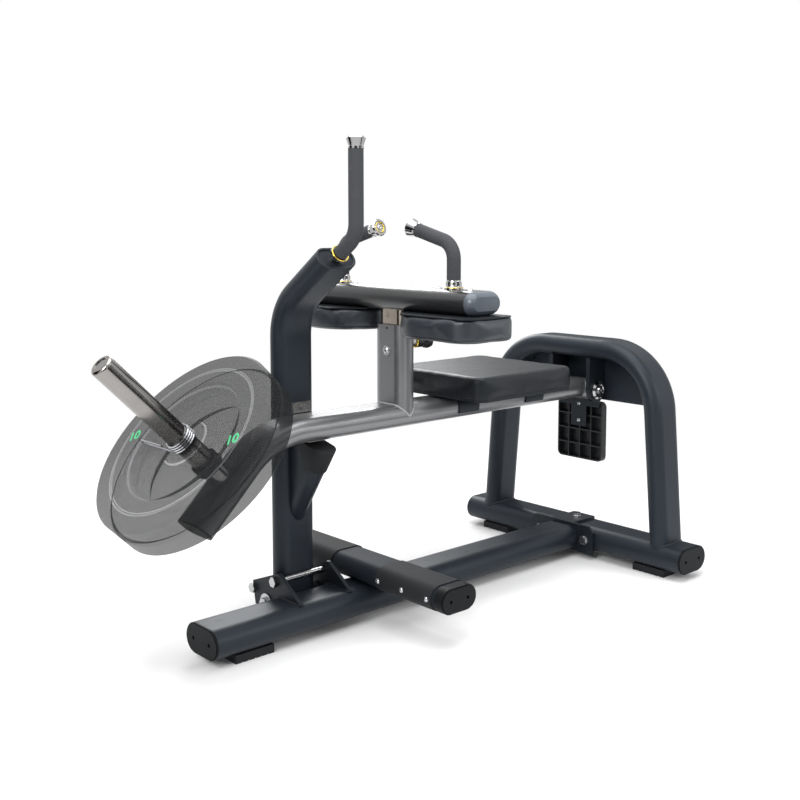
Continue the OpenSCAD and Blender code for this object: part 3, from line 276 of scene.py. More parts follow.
class Value:
    """A shader socket that adds Math nodes when it is used in an expression"""

    def __init__(self, paint, socket):
        self.paint = paint
        self.socket = socket

    def math(self, operation, *others):
        values = {0: self}
        values.update({place + 1: other for place, other in enumerate(others)})
        return self.paint.add("ShaderNodeMath", {"operation": operation}, values)

    def __add__(self, other):
        return self.math("ADD", other)

    def __sub__(self, other):
        return self.math("SUBTRACT", other)

    def __mul__(self, other):
        return self.math("MULTIPLY", other)

    def __rsub__(self, other):
        return (self * -1.0).math("ADD", other)

    __radd__ = __add__
    __rmul__ = __mul__

    def power(self, other):
        return self.math("POWER", other)

    def clamped(self):
        return self.math("MAXIMUM", 0.0).math("MINIMUM", 1.0)

    def step(self, low, high):
        """Rises smoothly from 0 to 1 between two values"""
        return self.paint.add(
            "ShaderNodeMapRange", {"interpolation_type": "SMOOTHSTEP", "clamp": True},
            {"Value": self, "From Min": low, "From Max": high, "To Min": 0.0, "To Max": 1.0})


class Paint:
    """A material under construction, with its shader and a few patterns on Object coordinates"""

    def __init__(self, name):
        self.material = bpy.data.materials.new(name)
        self.material.use_nodes = True
        self.tree = self.material.node_tree
        self.tree.nodes.clear()
        self.output = self.tree.nodes.new("ShaderNodeOutputMaterial")
        self.shader = self.tree.nodes.new("ShaderNodeBsdfPrincipled")
        self.join(self.shader.outputs["BSDF"], self.output.inputs["Surface"])
        self.place = self.add("ShaderNodeTexCoord", {}, {}, "Object")

    def join(self, source, target):
        self.tree.links.new(source, target)

    def add(self, kind, settings, values, result=0):
        """Adds a node with its settings and its sockets' values, and gives one result"""
        node = self.tree.nodes.new(kind)
        for name, setting in settings.items():
            setattr(node, name, setting)
        for key, value in values.items():
            socket = node.inputs[key]
            if isinstance(value, Value):
                self.join(value.socket, socket)
            else:
                socket.default_value = value
        return Value(self, node.outputs[result])

    def noise(self, size, detail=2.0, rough=0.5, stretch=None):
        """Clouds whose patches are about as large as the size"""
        place = self.place
        if stretch:
            place = self.add("ShaderNodeMapping", {}, {"Vector": place, "Scale": stretch})
        return self.add("ShaderNodeTexNoise", {}, {
            "Vector": place, "Scale": 1 / size, "Detail": detail, "Roughness": rough}, "Fac")

    def cells(self, size):
        """Cells about as large as the size, as the distance from their middles"""
        return self.add("ShaderNodeTexVoronoi", {}, {
            "Vector": self.place, "Scale": 1 / size}, "Distance")

    def along(self, axis):
        """One of the three coordinates"""
        return self.add("ShaderNodeSeparateXYZ", {}, {"Vector": self.place}, axis)

    def mixed(self, mask, first, second):
        """A colour between two, by a mask"""
        colours = [c if isinstance(c, Value) else (*c[:3], 1.0) for c in (first, second)]
        return self.add("ShaderNodeMix", {"data_type": "RGBA"}, {
            0: mask, 6: colours[0], 7: colours[1]}, 2)

    def set(self, **constants):
        """Sets the shader's own sockets"""
        for name, value in constants.items():
            socket = self.shader.inputs[name.replace("_", " ")]
            socket.default_value = (*value, 1.0) if isinstance(value, tuple) else value

    def feed(self, name, value):
        """Feeds one of the shader's sockets with a varying value"""
        self.join(value.socket, self.shader.inputs[name])

    def shades(self, mask, colour, first, second):
        """Feeds the base colour with two shades of one colour, by a mask"""
        self.feed("Base Color", self.mixed(mask, tinted(colour, first), tinted(colour, second)))

    def bump(self, height, distance, strength):
        """Raises the surface by a height from 0 to 1 times the distance"""
        relief = self.add("ShaderNodeBump", {}, {
            "Height": height, "Distance": distance, "Strength": strength}, "Normal")
        self.feed("Normal", relief)


def tinted(colour, factor):
    """A lighter or a darker shade of a colour"""
    return tuple(min(1.0, part * factor) for part in colour)


# Finishes

def powder_coat(name, colour, rough, gloss=0.30):
    """Fine textured powder coat with a few dull patches"""
    paint = Paint(name)
    patches = paint.noise(0.09, 3)
    grain = paint.noise(0.0011, 2, 0.6)
    rubbed = paint.noise(0.035, 4).step(0.60, 0.74)
    shade = (patches * 0.5 + grain * 0.5).clamped()
    paint.shades(shade, colour, 0.82, 1.22)
    paint.feed("Roughness", rubbed * 0.06 + patches * 0.08 + (rough - 0.04))
    paint.bump(grain, 0.00012, 0.55)
    paint.set(Specular_IOR_Level=gloss, Specular_Tint=(0.82, 0.91, 1.0))
    return paint.material


def metallic_coat(name, colour):
    """Satin gunmetal lacquer with fine flakes under a thin clear layer"""
    paint = Paint(name)
    flakes = paint.cells(0.0009)
    cloud = paint.noise(0.12, 3)
    shade = (flakes * 0.55 + cloud * 0.45).clamped()
    paint.shades(shade, colour, 0.8, 1.2)
    paint.feed("Roughness", cloud * 0.10 + 0.26)
    paint.bump(paint.noise(0.0016), 0.00008, 0.35)
    paint.set(Metallic=0.72, Coat_Weight=0.18, Coat_Roughness=0.25)
    return paint.material


def polished_metal(name, colour, rough, smudge=0.10):
    """Chrome with smudges and hair-fine scratches"""
    paint = Paint(name)
    smudges = paint.noise(0.030, 4, 0.6).step(0.50, 0.78)
    scratches = paint.noise(0.004, 1, 0.5, (1, 1, 0.06)).step(0.60, 0.75)
    paint.shades(smudges * 0.5, colour, 1.0, 0.86)
    paint.feed("Roughness", smudges * smudge + scratches * 0.02 + rough)
    paint.bump(scratches, 0.000001, 0.05)
    paint.set(Metallic=1.0)
    return paint.material


def turned_steel(name, colour, rough):
    """Zinc plated or ground steel with fine tool marks"""
    paint = Paint(name)
    marks = paint.noise(0.0007, 2, 0.6, (0.25, 1.0, 1.0))
    cloud = paint.noise(0.012, 3)
    paint.shades(cloud, colour, 0.8, 1.0)
    paint.feed("Roughness", marks * 0.12 + cloud * 0.08 + (rough - 0.08))
    paint.bump(marks, 0.00002, 0.35)
    paint.set(Metallic=1.0)
    return paint.material


def moulded_plastic(name, colour, rough, gloss=0.32):
    """Moulded plastic with a fine grain"""
    paint = Paint(name)
    grain = paint.cells(0.0010)
    cloud = paint.noise(0.05, 2)
    paint.shades(cloud, colour, 0.85, 1.2)
    paint.feed("Roughness", cloud * 0.10 + (rough - 0.05))
    paint.bump(grain, 0.00010, 0.30)
    paint.set(Specular_IOR_Level=gloss)
    return paint.material


def soft_rubber(name, colour, rough, pore=0.0008):
    """Rubber or foam with fine pores and pale dust"""
    paint = Paint(name)
    pores = paint.noise(pore, 3, 0.65)
    dust = paint.noise(0.04, 4).step(0.55, 0.80)
    shade = (pores * 0.7 + dust * 0.4).clamped()
    paint.shades(shade, colour, 0.72, 1.35)
    paint.feed("Roughness", pores * 0.14 + (rough - 0.07))
    paint.bump(pores, 0.00022, 0.5)
    paint.set(Specular_IOR_Level=0.30)
    return paint.material


def grained_leather(name, colour, gloss):
    """Black leather with a pebbled grain, creases and a soft shine"""
    paint = Paint(name)
    pebbles = paint.cells(0.0018)
    fine = paint.noise(0.0007, 2, 0.6)
    wear = paint.noise(0.075, 4, 0.55)
    creases = paint.noise(0.016, 3, 0.6, (1.0, 1.0, 2.5)).step(0.62, 0.75)
    relief = pebbles * 0.7 + fine * 0.3 - creases * 0.35
    paint.shades(wear, colour, 0.75, 1.35)
    paint.feed("Roughness", wear * 0.14 + pebbles * 0.10 + 0.33)
    paint.bump(relief, 0.00022, 0.55)
    paint.set(Specular_IOR_Level=gloss, Coat_Weight=gloss * 0.35, Coat_Roughness=0.22,
              Specular_Tint=(0.86, 0.93, 1.0))
    return paint.material


def thin_rings(radius, lines):
    """A mask of thin circles, from the distance to their middle"""
    mask = 0.0
    for place, width in lines:
        mask = (radius - place).math("ABSOLUTE").step(width, width * 0.4) + mask
    return mask.clamped()


def ghosted_rubber(name, node, inner_side):
    """Crumb rubber of a weight plate, drawn half transparent as in the photograph. The side that
    faces the other plate is nearly clear, so that the pair reads as one even tone."""
    low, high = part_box(node)
    middle = (low + high) / 2
    paint = Paint(name)
    across = paint.along("X") - middle.x
    sideways = paint.along("Y") - middle.y
    upward = paint.along("Z") - middle.z
    depth = across * horn_axis.x + upward * horn_axis.z
    square = across * across + sideways * sideways + upward * upward - depth * depth
    radius = square.math("MAXIMUM", 0.0).power(0.5)
    # Painted highlights: pale lines where the outer face steps, standing for the light that those
    # edges catch
    rings = thin_rings(radius, ring_highlight_lines)
    walls = thin_rings(radius, wall_lines)
    crumbs = paint.cells(0.0024)
    cloud = paint.noise(0.07, 3)
    facing = (depth * inner_side).step(0.0, 0.001)
    front = (depth * -inner_side).step(0.0, 0.001) if inner_side < 0 else facing * 0.0
    # The rings lighten the colour as painted highlights on the outer plate's outer face; crumbs
    # and clouds are random tone
    shade = (crumbs * 0.006 + cloud * 0.04 + rings * front * 0.45).clamped()
    paint.feed("Base Color", paint.mixed(shade, (0.005, 0.0055, 0.006), (0.30, 0.31, 0.33)))
    paint.feed("Roughness", cloud * 0.12 + 0.46)
    paint.bump(crumbs, 0.00002, 0.05)
    clear = facing * (1.0 - radius.step(rim_start, rim_full))
    tone = clear * (facing_alpha - hull_alpha) + hull_alpha
    paint.feed("Alpha", tone * (walls * front * -wall_loss + 1.0))
    paint.set(Specular_IOR_Level=0.12)
    return paint.material


def number_paint(name, colour, see_through):
    """Printed paint of the numbers, a little worn"""
    paint = Paint(name)
    worn = paint.noise(0.004, 4, 0.65)
    paint.shades(worn, colour, 0.75, 1.2)
    paint.feed("Roughness", worn * 0.2 + 0.45)
    paint.bump(worn, 0.00005, 0.3)
    paint.set(Alpha=1 - see_through)
    return paint.material


def weld_metal(name, colour):
    """Painted weld bead with its ripples"""
    paint = Paint(name)
    ripples = paint.noise(0.0045, 2, 0.5)
    paint.shades(ripples, colour, 0.8, 1.3)
    paint.feed("Roughness", ripples * 0.15 + 0.40)
    paint.bump(ripples, 0.0006, 0.7)
    paint.set(Metallic=0.2, Specular_IOR_Level=0.4)
    return paint.material


# Every finish by its name
finishes = {}


def make_finishes(colours):
    """Makes every finish, by the name of its material slot or by a name of its own"""
    black = (0.010, 0.011, 0.013)
    finishes.update({
        "frame": powder_coat("frame_coat", colours.frame_coat, 0.42),
        "dark_steel": powder_coat("bracket_coat", colours.plate_coat, 0.48),
        "gunmetal": metallic_coat("arm_coat", colours.arm_coat),
        "steel_shaft": turned_steel("ground_steel", (0.42, 0.41, 0.40), 0.24),
        "bolt_chrome": turned_steel("bright_zinc", (0.52, 0.52, 0.54), 0.20),
        "chrome": polished_metal("chrome", (0.42, 0.42, 0.425), 0.09),
        "slider_chrome": polished_metal("slider_chrome", (0.40, 0.35, 0.30), 0.16, 0.12),
        "black_plastic": moulded_plastic("black_plastic", black, 0.44),
        "cap_plastic": moulded_plastic("cap_plastic", (0.006, 0.007, 0.008), 0.50, 0.12),
        "rubber": soft_rubber("foot_rubber", black, 0.70),
        "grip_rubber": soft_rubber("grip_foam", colours.grip, 0.78, 0.0010),
        "upholstery": grained_leather("leather", colours.leather, 0.26),
        "inner_plate": ghosted_rubber("inner_plate_rubber", "inner_plate", 1.0),
        "outer_plate": ghosted_rubber("outer_plate_rubber", "outer_plate", -1.0),
        "bronze": turned_steel("bronze", (0.42, 0.28, 0.12), 0.34),
        "thread": soft_rubber("thread", colours.thread, 0.75, 0.0004),
        "gold": polished_metal("gold_ring", colours.gold, 0.12, 0.08),
        "collar_wire": turned_steel("spring_wire", (0.45, 0.46, 0.48), 0.18),
        "weld": weld_metal("weld_bead", colours.plate_coat),
        "arm_weld": weld_metal("arm_weld_bead", tinted(colours.arm_coat, 1.5)),
        "numbers": number_paint("number_paint", colours.number_green, 0.12),
        "horn_steel": polished_metal("horn_steel", (0.27, 0.26, 0.25), 0.16, 0.03),
        "bar_coat": metallic_coat("bar_coat", tinted(colours.arm_coat, 0.30)),
        # Painted reflection in part: the knee bar's caps are a dark blue-grey, lifted here towards
        # the broad reflection on their faces
        "bar_cap": moulded_plastic("bar_cap", (0.090, 0.108, 0.130), 0.24, 0.40),
        "foot_bar_coat": powder_coat("foot_bar_coat", colours.frame_coat, 0.55, 0.12),
        # Painted sheen: the pads share the seat's leather, made 2.2 times lighter to stand for the
        # brighter reflections on their sides
        "pad_leather_painted_sheen": grained_leather("pad_leather_painted_sheen", tinted(colours.leather, 2.2), 0.62),
    })


# Making and placing pieces

def linked(name, data):
    """A new object in the scene"""
    made = bpy.data.objects.new(name, data)
    bpy.context.scene.collection.objects.link(made)
    return made


def mesh_of(name, shape):
    """A shape as a mesh, which uses the shape up"""
    mesh = bpy.data.meshes.new(name)
    shape.to_mesh(mesh)
    shape.free()
    return mesh


def shape_of(mesh):
    """A copy of a mesh as a shape that can be worked on"""
    shape = bmesh.new()
    shape.from_mesh(mesh)
    return shape


def finished_piece(name, shape, body, finish, smooth=True):
    """Turns a shape into a piece with its finish, riding on its body"""
    bmesh.ops.remove_doubles(shape, verts=shape.verts, dist=1e-6)
    bmesh.ops.recalc_face_normals(shape, faces=shape.faces)
    mesh = mesh_of(name, shape)
    for face in mesh.polygons:
        face.use_smooth = smooth
    mesh.materials.append(finishes[finish])
    piece = linked(name, mesh)
    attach(piece, body)
    return piece


def baked(piece):
    """The piece's mesh with its modifiers applied, as a new mesh"""
    graph = bpy.context.evaluated_depsgraph_get()
    graph.update()
    return bpy.data.meshes.new_from_object(piece.evaluated_get(graph), depsgraph=graph)


def apply_modifiers(piece):
    """Applies the piece's modifiers, so that none is left on it"""
    mesh = baked(piece)
    old = piece.data
    piece.modifiers.clear()
    piece.data = mesh
    bpy.data.meshes.remove(old)


def drawn_shape(name, curve):
    """The shape of a curve or of writing"""
    drawn = linked(name, curve)
    mesh = baked(drawn)
    bpy.data.objects.remove(drawn)
    shape = shape_of(mesh)
    bpy.data.meshes.remove(mesh)
    return shape


def turned(profile, place, steps=48, closed=False):
    """A profile of radii and heights turned round the Z axis, then placed"""
    shape = bmesh.new()
    ring = [shape.verts.new((radius, 0, height)) for radius, height in profile]
    following = ring[1:] + ring[:1] if closed else ring[1:]
    edges = [shape.edges.new(pair) for pair in zip(ring, following)]
    bmesh.ops.spin(shape, geom=ring + edges, axis=(0, 0, 1), cent=(0, 0, 0),
                   angle=2 * math.pi, steps=steps, use_merge=True)
    bmesh.ops.transform(shape, matrix=place, verts=shape.verts)
    return shape


def band(radius, wire, place):
    """A round ring of wire"""
    turns = [2 * math.pi * step / 12 for step in range(12)]
    profile = [(radius + wire * math.cos(turn), wire * math.sin(turn)) for turn in turns]
    return turned(profile, place, 56, True)


def joined(shapes):
    """Several shapes as one"""
    whole = bmesh.new()
    for shape in shapes:
        mesh = mesh_of("part", shape)
        whole.from_mesh(mesh)
        bpy.data.meshes.remove(mesh)
    return whole


def flat_faces(name, least=2e-4):
    """The flat faces of a modelled part: middle, direction and reach, the largest first"""
    shape = shape_of(nodes[name].data)
    bmesh.ops.remove_doubles(shape, verts=shape.verts, dist=1e-6)
    seen = set()
    found = []
    for face in shape.faces:
        if face in seen:
            continue
        group = [face]
        seen.add(face)
        for member in group:
            for edge in member.edges:
                for other in edge.link_faces:
                    if other not in seen and other.normal.dot(face.normal) > 0.99999:
                        seen.add(other)
                        group.append(other)
        area = sum(member.calc_area() for member in group)
        if area > least:
            middle = sum((f.calc_center_median() * f.calc_area() for f in group), Vector()) / area
            reach = max((vert.co - middle).length for f in group for vert in f.verts)
            found.append((area, middle, face.normal.copy(), reach))
    shape.free()
    found.sort(key=lambda item: -item[0])
    return [item[1:] for item in found]


def placed(x, y, z, origin):
    """The matrix with these axes and this origin"""
    matrix = Matrix((x, y, z)).transposed().to_4x4()
    matrix.translation = origin
    return matrix


def frame_towards(origin, direction, across=Vector((1, 0, 0))):
    """A matrix whose Z points along the direction and whose Y lies near another one"""
    z = Vector(direction).normalized()
    x = across.cross(z).normalized()
    return placed(x, z.cross(x), z, origin)


def surface_tree(name):
    """A modelled part's surface, for finding its nearest point or where a line meets it"""
    mesh = nodes[name].data
    return BVHTree.FromPolygons([vert.co for vert in mesh.vertices],
                                [face.vertices for face in mesh.polygons])


def tube_along(name, points, radius, body, finish, closed=False, sides=3):
    """A round tube through points, as a mesh"""
    curve = bpy.data.curves.new(name, "CURVE")
    curve.dimensions = "3D"
    curve.bevel_depth = radius
    curve.bevel_resolution = sides
    curve.use_fill_caps = not closed
    line = curve.splines.new("POLY")
    line.points.add(len(points) - 1)
    for point, place in zip(line.points, points):
        point.co = (*place, 1.0)
    line.use_cyclic_u = closed
    return finished_piece(name, drawn_shape(name + "_line", curve), body, finish)


def meeting_lines(first, second, reach=0.0006, sharp=0.35):
    """The sharp rims of one part that lie on another, as lines of points, the longest first"""
    tree = surface_tree(second)
    shape = shape_of(nodes[first].data)
    bmesh.ops.remove_doubles(shape, verts=shape.verts, dist=1e-6)
    near = {vert for vert in shape.verts if tree.find_nearest(vert.co, reach)[0] is not None}
    rims = dict.fromkeys(
        edge for edge in shape.edges
        if edge.verts[0] in near and edge.verts[1] in near and len(edge.link_faces) == 2
        and edge.calc_face_angle() > sharp)
    lines = []
    while rims:
        edge = next(iter(rims))
        rims.pop(edge)
        line = list(edge.verts)
        for end in (1, 0):
            while True:
                here = line[-1] if end else line[0]
                following = [e for e in here.link_edges if e in rims]
                if not following:
                    break
                rims.pop(following[0])
                other = following[0].other_vert(here)
                line.insert(len(line) if end else 0, other)
        lines.append([vert.co.copy() for vert in line])
    shape.free()
    lines.sort(key=lambda line: -sum((b - a).length for a, b in zip(line, line[1:])))
    return lines


def bead(name, line, radius, body, finish):
    """A weld bead along a line"""
    closed = (line[0] - line[-1]).length < 1e-5
    points = line[:-1] if closed else line
    return tube_along(name, points, radius, body, finish, closed, 2)


# Cushions

def rounded(shape, edges, radius, segments):
    """Rounds some edges of a shape"""
    bmesh.ops.bevel(shape, geom=edges, offset=radius, offset_type="OFFSET", segments=segments,
                    profile=0.5, affect="EDGES", material=-1, clamp_overlap=False)


def cushion_block(low, high, corners, rolls):
    """A rounded block. The corners' radii stand in the order +X +Y, -X +Y, -X -Y, +X -Y, and
    the rolls are the radii of its lower and its upper edge."""
    shape = bmesh.new()
    size = high - low
    place = Matrix.Translation((low + high) / 2) @ Matrix.Diagonal((*size, 1.0))
    bmesh.ops.create_cube(shape, size=1.0, matrix=place)
    middle = (low + high) / 2
    signs = [(1, 1), (-1, 1), (-1, -1), (1, -1)]
    for (sx, sy), radius in zip(signs, corners):
        edges = [e for e in shape.edges
                 if abs(e.verts[0].co.z - e.verts[1].co.z) > size.z / 2
                 and (e.verts[0].co.x - middle.x) * sx > size.x / 2 - 1e-5
                 and (e.verts[0].co.y - middle.y) * sy > size.y / 2 - 1e-5]
        rounded(shape, edges, radius, 10)
    for side, roll in zip((-1, 1), rolls):
        rims = [e for e in shape.edges
                if all((v.co.z - middle.z) * side > size.z / 2 - 1e-5 for v in e.verts)
                and any(abs(f.normal.z) < 0.1 for f in e.link_faces)]
        rounded(shape, rims, roll, 4)
    return shape


def filled(piece, sizes):
    """Pushes the cover out as its filling does, capped at the swell, and smooths it"""
    remesh = piece.modifiers.new("even_mesh", "REMESH")
    remesh.mode = "VOXEL"
    remesh.voxel_size = sizes.voxel
    remesh.use_smooth_shade = True
    apply_modifiers(piece)
    settle(piece, sizes)
    shape = shape_of(piece.data)
    for _ in range(3):
        bmesh.ops.smooth_vert(shape, verts=shape.verts, factor=0.5, use_axis_x=True,
                              use_axis_y=True, use_axis_z=True)
    shape.to_mesh(piece.data)
    shape.free()


def settle(piece, sizes):
    """Lets the cover settle as cloth under the filling's pressure"""
    cloth = piece.modifiers.new("cover", "CLOTH")
    settings = cloth.settings
    settings.use_pressure = True
    settings.uniform_pressure_force = sizes.pressure
    settings.effector_weights.gravity = 0.0
    settings.quality = 4
    settings.mass = 0.35
    settings.tension_stiffness = 22
    settings.compression_stiffness = 22
    settings.bending_stiffness = 1.5
    cloth.collision_settings.use_collision = False
    cloth.point_cache.frame_start = 1
    cloth.point_cache.frame_end = sizes.settle_frames
    scene = bpy.context.scene
    for step in range(1, sizes.settle_frames + 1):
        scene.frame_set(step)
    mesh = baked(piece)
    scene.frame_set(1)
    piece.modifiers.clear()
    for vert, moved in zip(piece.data.vertices, mesh.vertices):
        push = moved.co - vert.co
        if push.length > sizes.swell:
            push.length = sizes.swell
        vert.co = vert.co + push
    bpy.data.meshes.remove(mesh)


def kept_inside(piece, low, high):
    """Keeps a cushion within the space of the solid that it stands for"""
    for vert in piece.data.vertices:
        for axis in range(3):
            vert.co[axis] = min(max(vert.co[axis], low[axis]), high[axis])


def loop_at_height(piece, height):
    """The closed line in which a level plane cuts the cushion, in order"""
    shape = shape_of(piece.data)
    bmesh.ops.bisect_plane(shape, geom=shape.verts[:] + shape.edges[:] + shape.faces[:],
                           dist=1e-6, plane_co=(0, 0, height), plane_no=(0, 0, 1),
                           clear_inner=True, clear_outer=True)
    start = next(edge for edge in shape.edges if edge.is_valid).verts[0]
    line = [start]
    last, here = None, start
    while True:
        following = [e.other_vert(here) for e in here.link_edges if e.other_vert(here) is not last]
        if not following or following[0] is start:
            break
        last, here = here, following[0]
        line.append(here)
    points = [vert.co.copy() for vert in line]
    shape.free()
    return points


def even_points(points, step):
    """Points an even step apart along a closed line, with the directions there"""
    result = []
    walked = 0.0
    target = 0.0
    for a, b in zip(points, points[1:] + points[:1]):
        length = (b - a).length
        while length > 1e-9 and walked + length > target:
            share = (target - walked) / length
            result.append((a.lerp(b, share), (b - a).normalized()))
            target += step
        walked += length
    return result


def stitches(name, points, sizes, body):
    """A row of short raised stitches along a closed line"""
    shape = bmesh.new()
    up = Vector((0, 0, 1))
    size = (sizes.stitch_step * stitch_share, stitch_radius, stitch_radius, 1.0)
    for place, direction in even_points(points, sizes.stitch_step):
        matrix = placed(direction, direction.cross(up).normalized(), up, place)
        bmesh.ops.create_icosphere(shape, subdivisions=1, radius=1.0,
                                   matrix=matrix @ Matrix.Diagonal(size))
    return finished_piece(name, shape, body, "thread")


def smooth_loop(points, radius=4):
    """A closed line with its small steps averaged away"""
    span = range(-radius, radius + 1)
    count = len(points)
    return [sum((points[(index + offset) % count] for offset in span), Vector()) / len(span)
            for index in range(count)]


def sewn_cushion(name, node, board, finish, corners, rolls, seam_height, stitched, sizes):
    """A padded cushion that replaces a soft solid, with its seam and stitches. Its cover wraps
    round the edge of its board."""
    low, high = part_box(node)
    board_low, board_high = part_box(board)
    if board_low.z < low.z:
        low.z = board_low.z + board_edge
    else:
        high.z = board_high.z - board_edge
    body = nodes[node]["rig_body"]
    inset = Vector((sizes.shrink, sizes.shrink, sizes.shrink * 0.5))
    shape = cushion_block(low + inset, high - inset, corners, rolls)
    piece = finished_piece(name, shape, body, finish)
    filled(piece, sizes)
    kept_inside(piece, low + Vector((0, 0, 0.0002)), high)
    soften = piece.modifiers.new("even_cover", "SUBSURF")
    soften.levels = soften.render_levels = 1
    apply_modifiers(piece)
    for face in piece.data.polygons:
        face.use_smooth = True
    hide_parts(node)
    height = low.z + seam_height * (high.z - low.z)
    line = smooth_loop(loop_at_height(piece, height))
    seam = tube_along(name + "_seam", line, sizes.seam_width / 2, body, "upholstery", True)
    if stitched:
        lower = smooth_loop(loop_at_height(piece, height + stitched))
        sewn = stitches(name + "_stitches", lower, sizes, body)


# Operators

class CALF_OT_studio(Operator):
    """Sets up the pale floor, the backdrop, the soft lamps and the camera"""
    bl_idname = "calf.studio"
    bl_label = "Studio"

    def execute(self, context):
        sizes = context.scene.calf_studio
        scene = context.scene
        scene.view_settings.view_transform = "Standard"
        lens = bpy.data.cameras.new("camera")
        lens.sensor_width = 36.0
        lens.lens = sizes.lens
        lens.shift_y = sizes.shift
        lens.clip_start, lens.clip_end = 0.05, 60.0
        camera = linked("camera", lens)
        camera.location = sizes.eye
        camera.rotation_mode = "QUATERNION"
        camera.rotation_quaternion = Vector(sizes.aim).to_track_quat("-Z", "Y")
        scene.camera = camera
        self.backdrop(scene)
        self.floor(sizes)
        for name, place, width, share in lamps:
            self.lamp(name, Vector(place), width, sizes.lamp_power * share)
        for name, place, width, height, tone in cards:
            self.card(name, Vector(place), (width, height), tone)
        return {"FINISHED"}

    def backdrop(self, scene):
        """White where the camera, metal and glass see it, and a soft grey light elsewhere"""
        world = bpy.data.worlds.new("backdrop")
        scene.world = world
        world.use_nodes = True
        tree = world.node_tree
        tree.nodes.clear()
        rays = tree.nodes.new("ShaderNodeLightPath")
        seen = rays.outputs["Is Camera Ray"]
        for name in ("Is Glossy Ray", "Is Transmission Ray"):
            either = tree.nodes.new("ShaderNodeMath")
            either.operation = "MAXIMUM"
            tree.links.new(seen, either.inputs[0])
            tree.links.new(rays.outputs[name], either.inputs[1])
            seen = either.outputs[0]
        mix = tree.nodes.new("ShaderNodeMixShader")
        tree.links.new(seen, mix.inputs[0])
        for place, strength in ((1, soft_light), (2, 1.0)):
            light = tree.nodes.new("ShaderNodeBackground")
            light.inputs["Strength"].default_value = strength
            light.inputs["Color"].default_value = (1.0, 1.0, 1.0, 1.0)
            tree.links.new(light.outputs[0], mix.inputs[place])
        out = tree.nodes.new("ShaderNodeOutputWorld")
        tree.links.new(mix.outputs[0], out.inputs["Surface"])

    def floor(self, sizes):
        """A pale floor that keeps the shadow and fades into the backdrop"""
        shape = bmesh.new()
        bmesh.ops.create_circle(shape, cap_ends=True, segments=96, radius=sizes.floor_radius)
        mesh = mesh_of("floor", shape)
        paint = Paint("floor")
        far = paint.along("X").power(2.0) + paint.along("Y").power(2.0)
        edge = far.step((sizes.floor_radius * 0.45) ** 2, (sizes.floor_radius * 0.92) ** 2)
        paint.set(Base_Color=(0.93, 0.93, 0.93), Roughness=0.9, Specular_IOR_Level=0.0)
        clear = paint.tree.nodes.new("ShaderNodeBsdfTransparent")
        mix = paint.tree.nodes.new("ShaderNodeMixShader")
        paint.join(edge.socket, mix.inputs[0])
        paint.join(paint.shader.outputs["BSDF"], mix.inputs[1])
        paint.join(clear.outputs[0], mix.inputs[2])
        paint.join(mix.outputs[0], paint.output.inputs["Surface"])
        mesh.materials.append(paint.material)
        floor = linked("floor", mesh)

    def card(self, name, place, size, tone):
        """A dark card that only metal and gloss see, for the dark streaks in the chrome"""
        shape = bmesh.new()
        matrix = frame_towards(place, studio_target - place, Vector((0, 0, 1)))
        spread = Matrix.Diagonal((size[0] / 2, size[1] / 2, 1.0, 1.0))
        bmesh.ops.create_grid(shape, x_segments=1, y_segments=1, size=1.0,
                              matrix=matrix @ spread)
        mesh = mesh_of(name, shape)
        paint = Paint(name)
        paint.set(Base_Color=(0.0, 0.0, 0.0), Roughness=1.0, Specular_IOR_Level=0.0,
                  Emission_Color=(tone, tone * 0.96, tone * 0.92), Emission_Strength=1.0)
        mesh.materials.append(paint.material)
        card = linked(name, mesh)
        card.visible_camera = False
        card.visible_diffuse = False
        card.visible_shadow = False

    def lamp(self, name, place, size, power):
        """A square softbox that faces the machine"""
        light = bpy.data.lights.new(name, "AREA")
        light.shape = "SQUARE"
        light.size = size
        light.energy = power
        lamp = linked(name, light)
        lamp.location = place
        lamp.rotation_mode = "QUATERNION"
        lamp.rotation_quaternion = (studio_target - place).to_track_quat("-Z", "Y")


class CALF_OT_finishes(Operator):
    """Gives every modelled part its finish"""
    bl_idname = "calf.finishes"
    bl_label = "Finishes"

    def execute(self, context):
        make_finishes(context.scene.calf_colours)
        for part in frame["record"]["subparts"]:
            node = nodes[part["node"]]
            node.data.materials.clear()
            finish = own_finish.get(part["node"], part["material_slot"])
            node.data.materials.append(finishes[finish])
        return {"FINISHED"}


class CALF_OT_seat(Operator):
    """Sews and fills the seat cushion"""
    bl_idname = "calf.seat"
    bl_label = "Seat cushion"

    def execute(self, context):
        sizes = context.scene.calf_cushions
        sewn_cushion("seat_pad", "seat_cushion", "seat_board", "upholstery", [0.032] * 4,
                     (0.006, 0.010), 0.16, 0, sizes)
        return {"FINISHED"}


class CALF_OT_knee_pads(Operator):
    """Sews and fills the two knee pads"""
    bl_idname = "calf.knee_pads"
    bl_label = "Knee pads"

    def execute(self, context):
        sizes = context.scene.calf_cushions
        pad_rolls = (0.008, 0.003)
        left = [0.058, 0.042, 0.036, 0.124]
        right = [left[3], left[2], left[1], left[0]]
        # The pads' cover is the lightened leather, a painted sheen
        sewn_cushion("knee_cushion_left", "knee_pad_left", "knee_boards", "pad_leather_painted_sheen", left,
                     pad_rolls, 0.14, 0.006, sizes)
        sewn_cushion("knee_cushion_right", "knee_pad_right", "knee_boards", "pad_leather_painted_sheen", right,
                     pad_rolls, 0.14, 0.006, sizes)
        return {"FINISHED"}


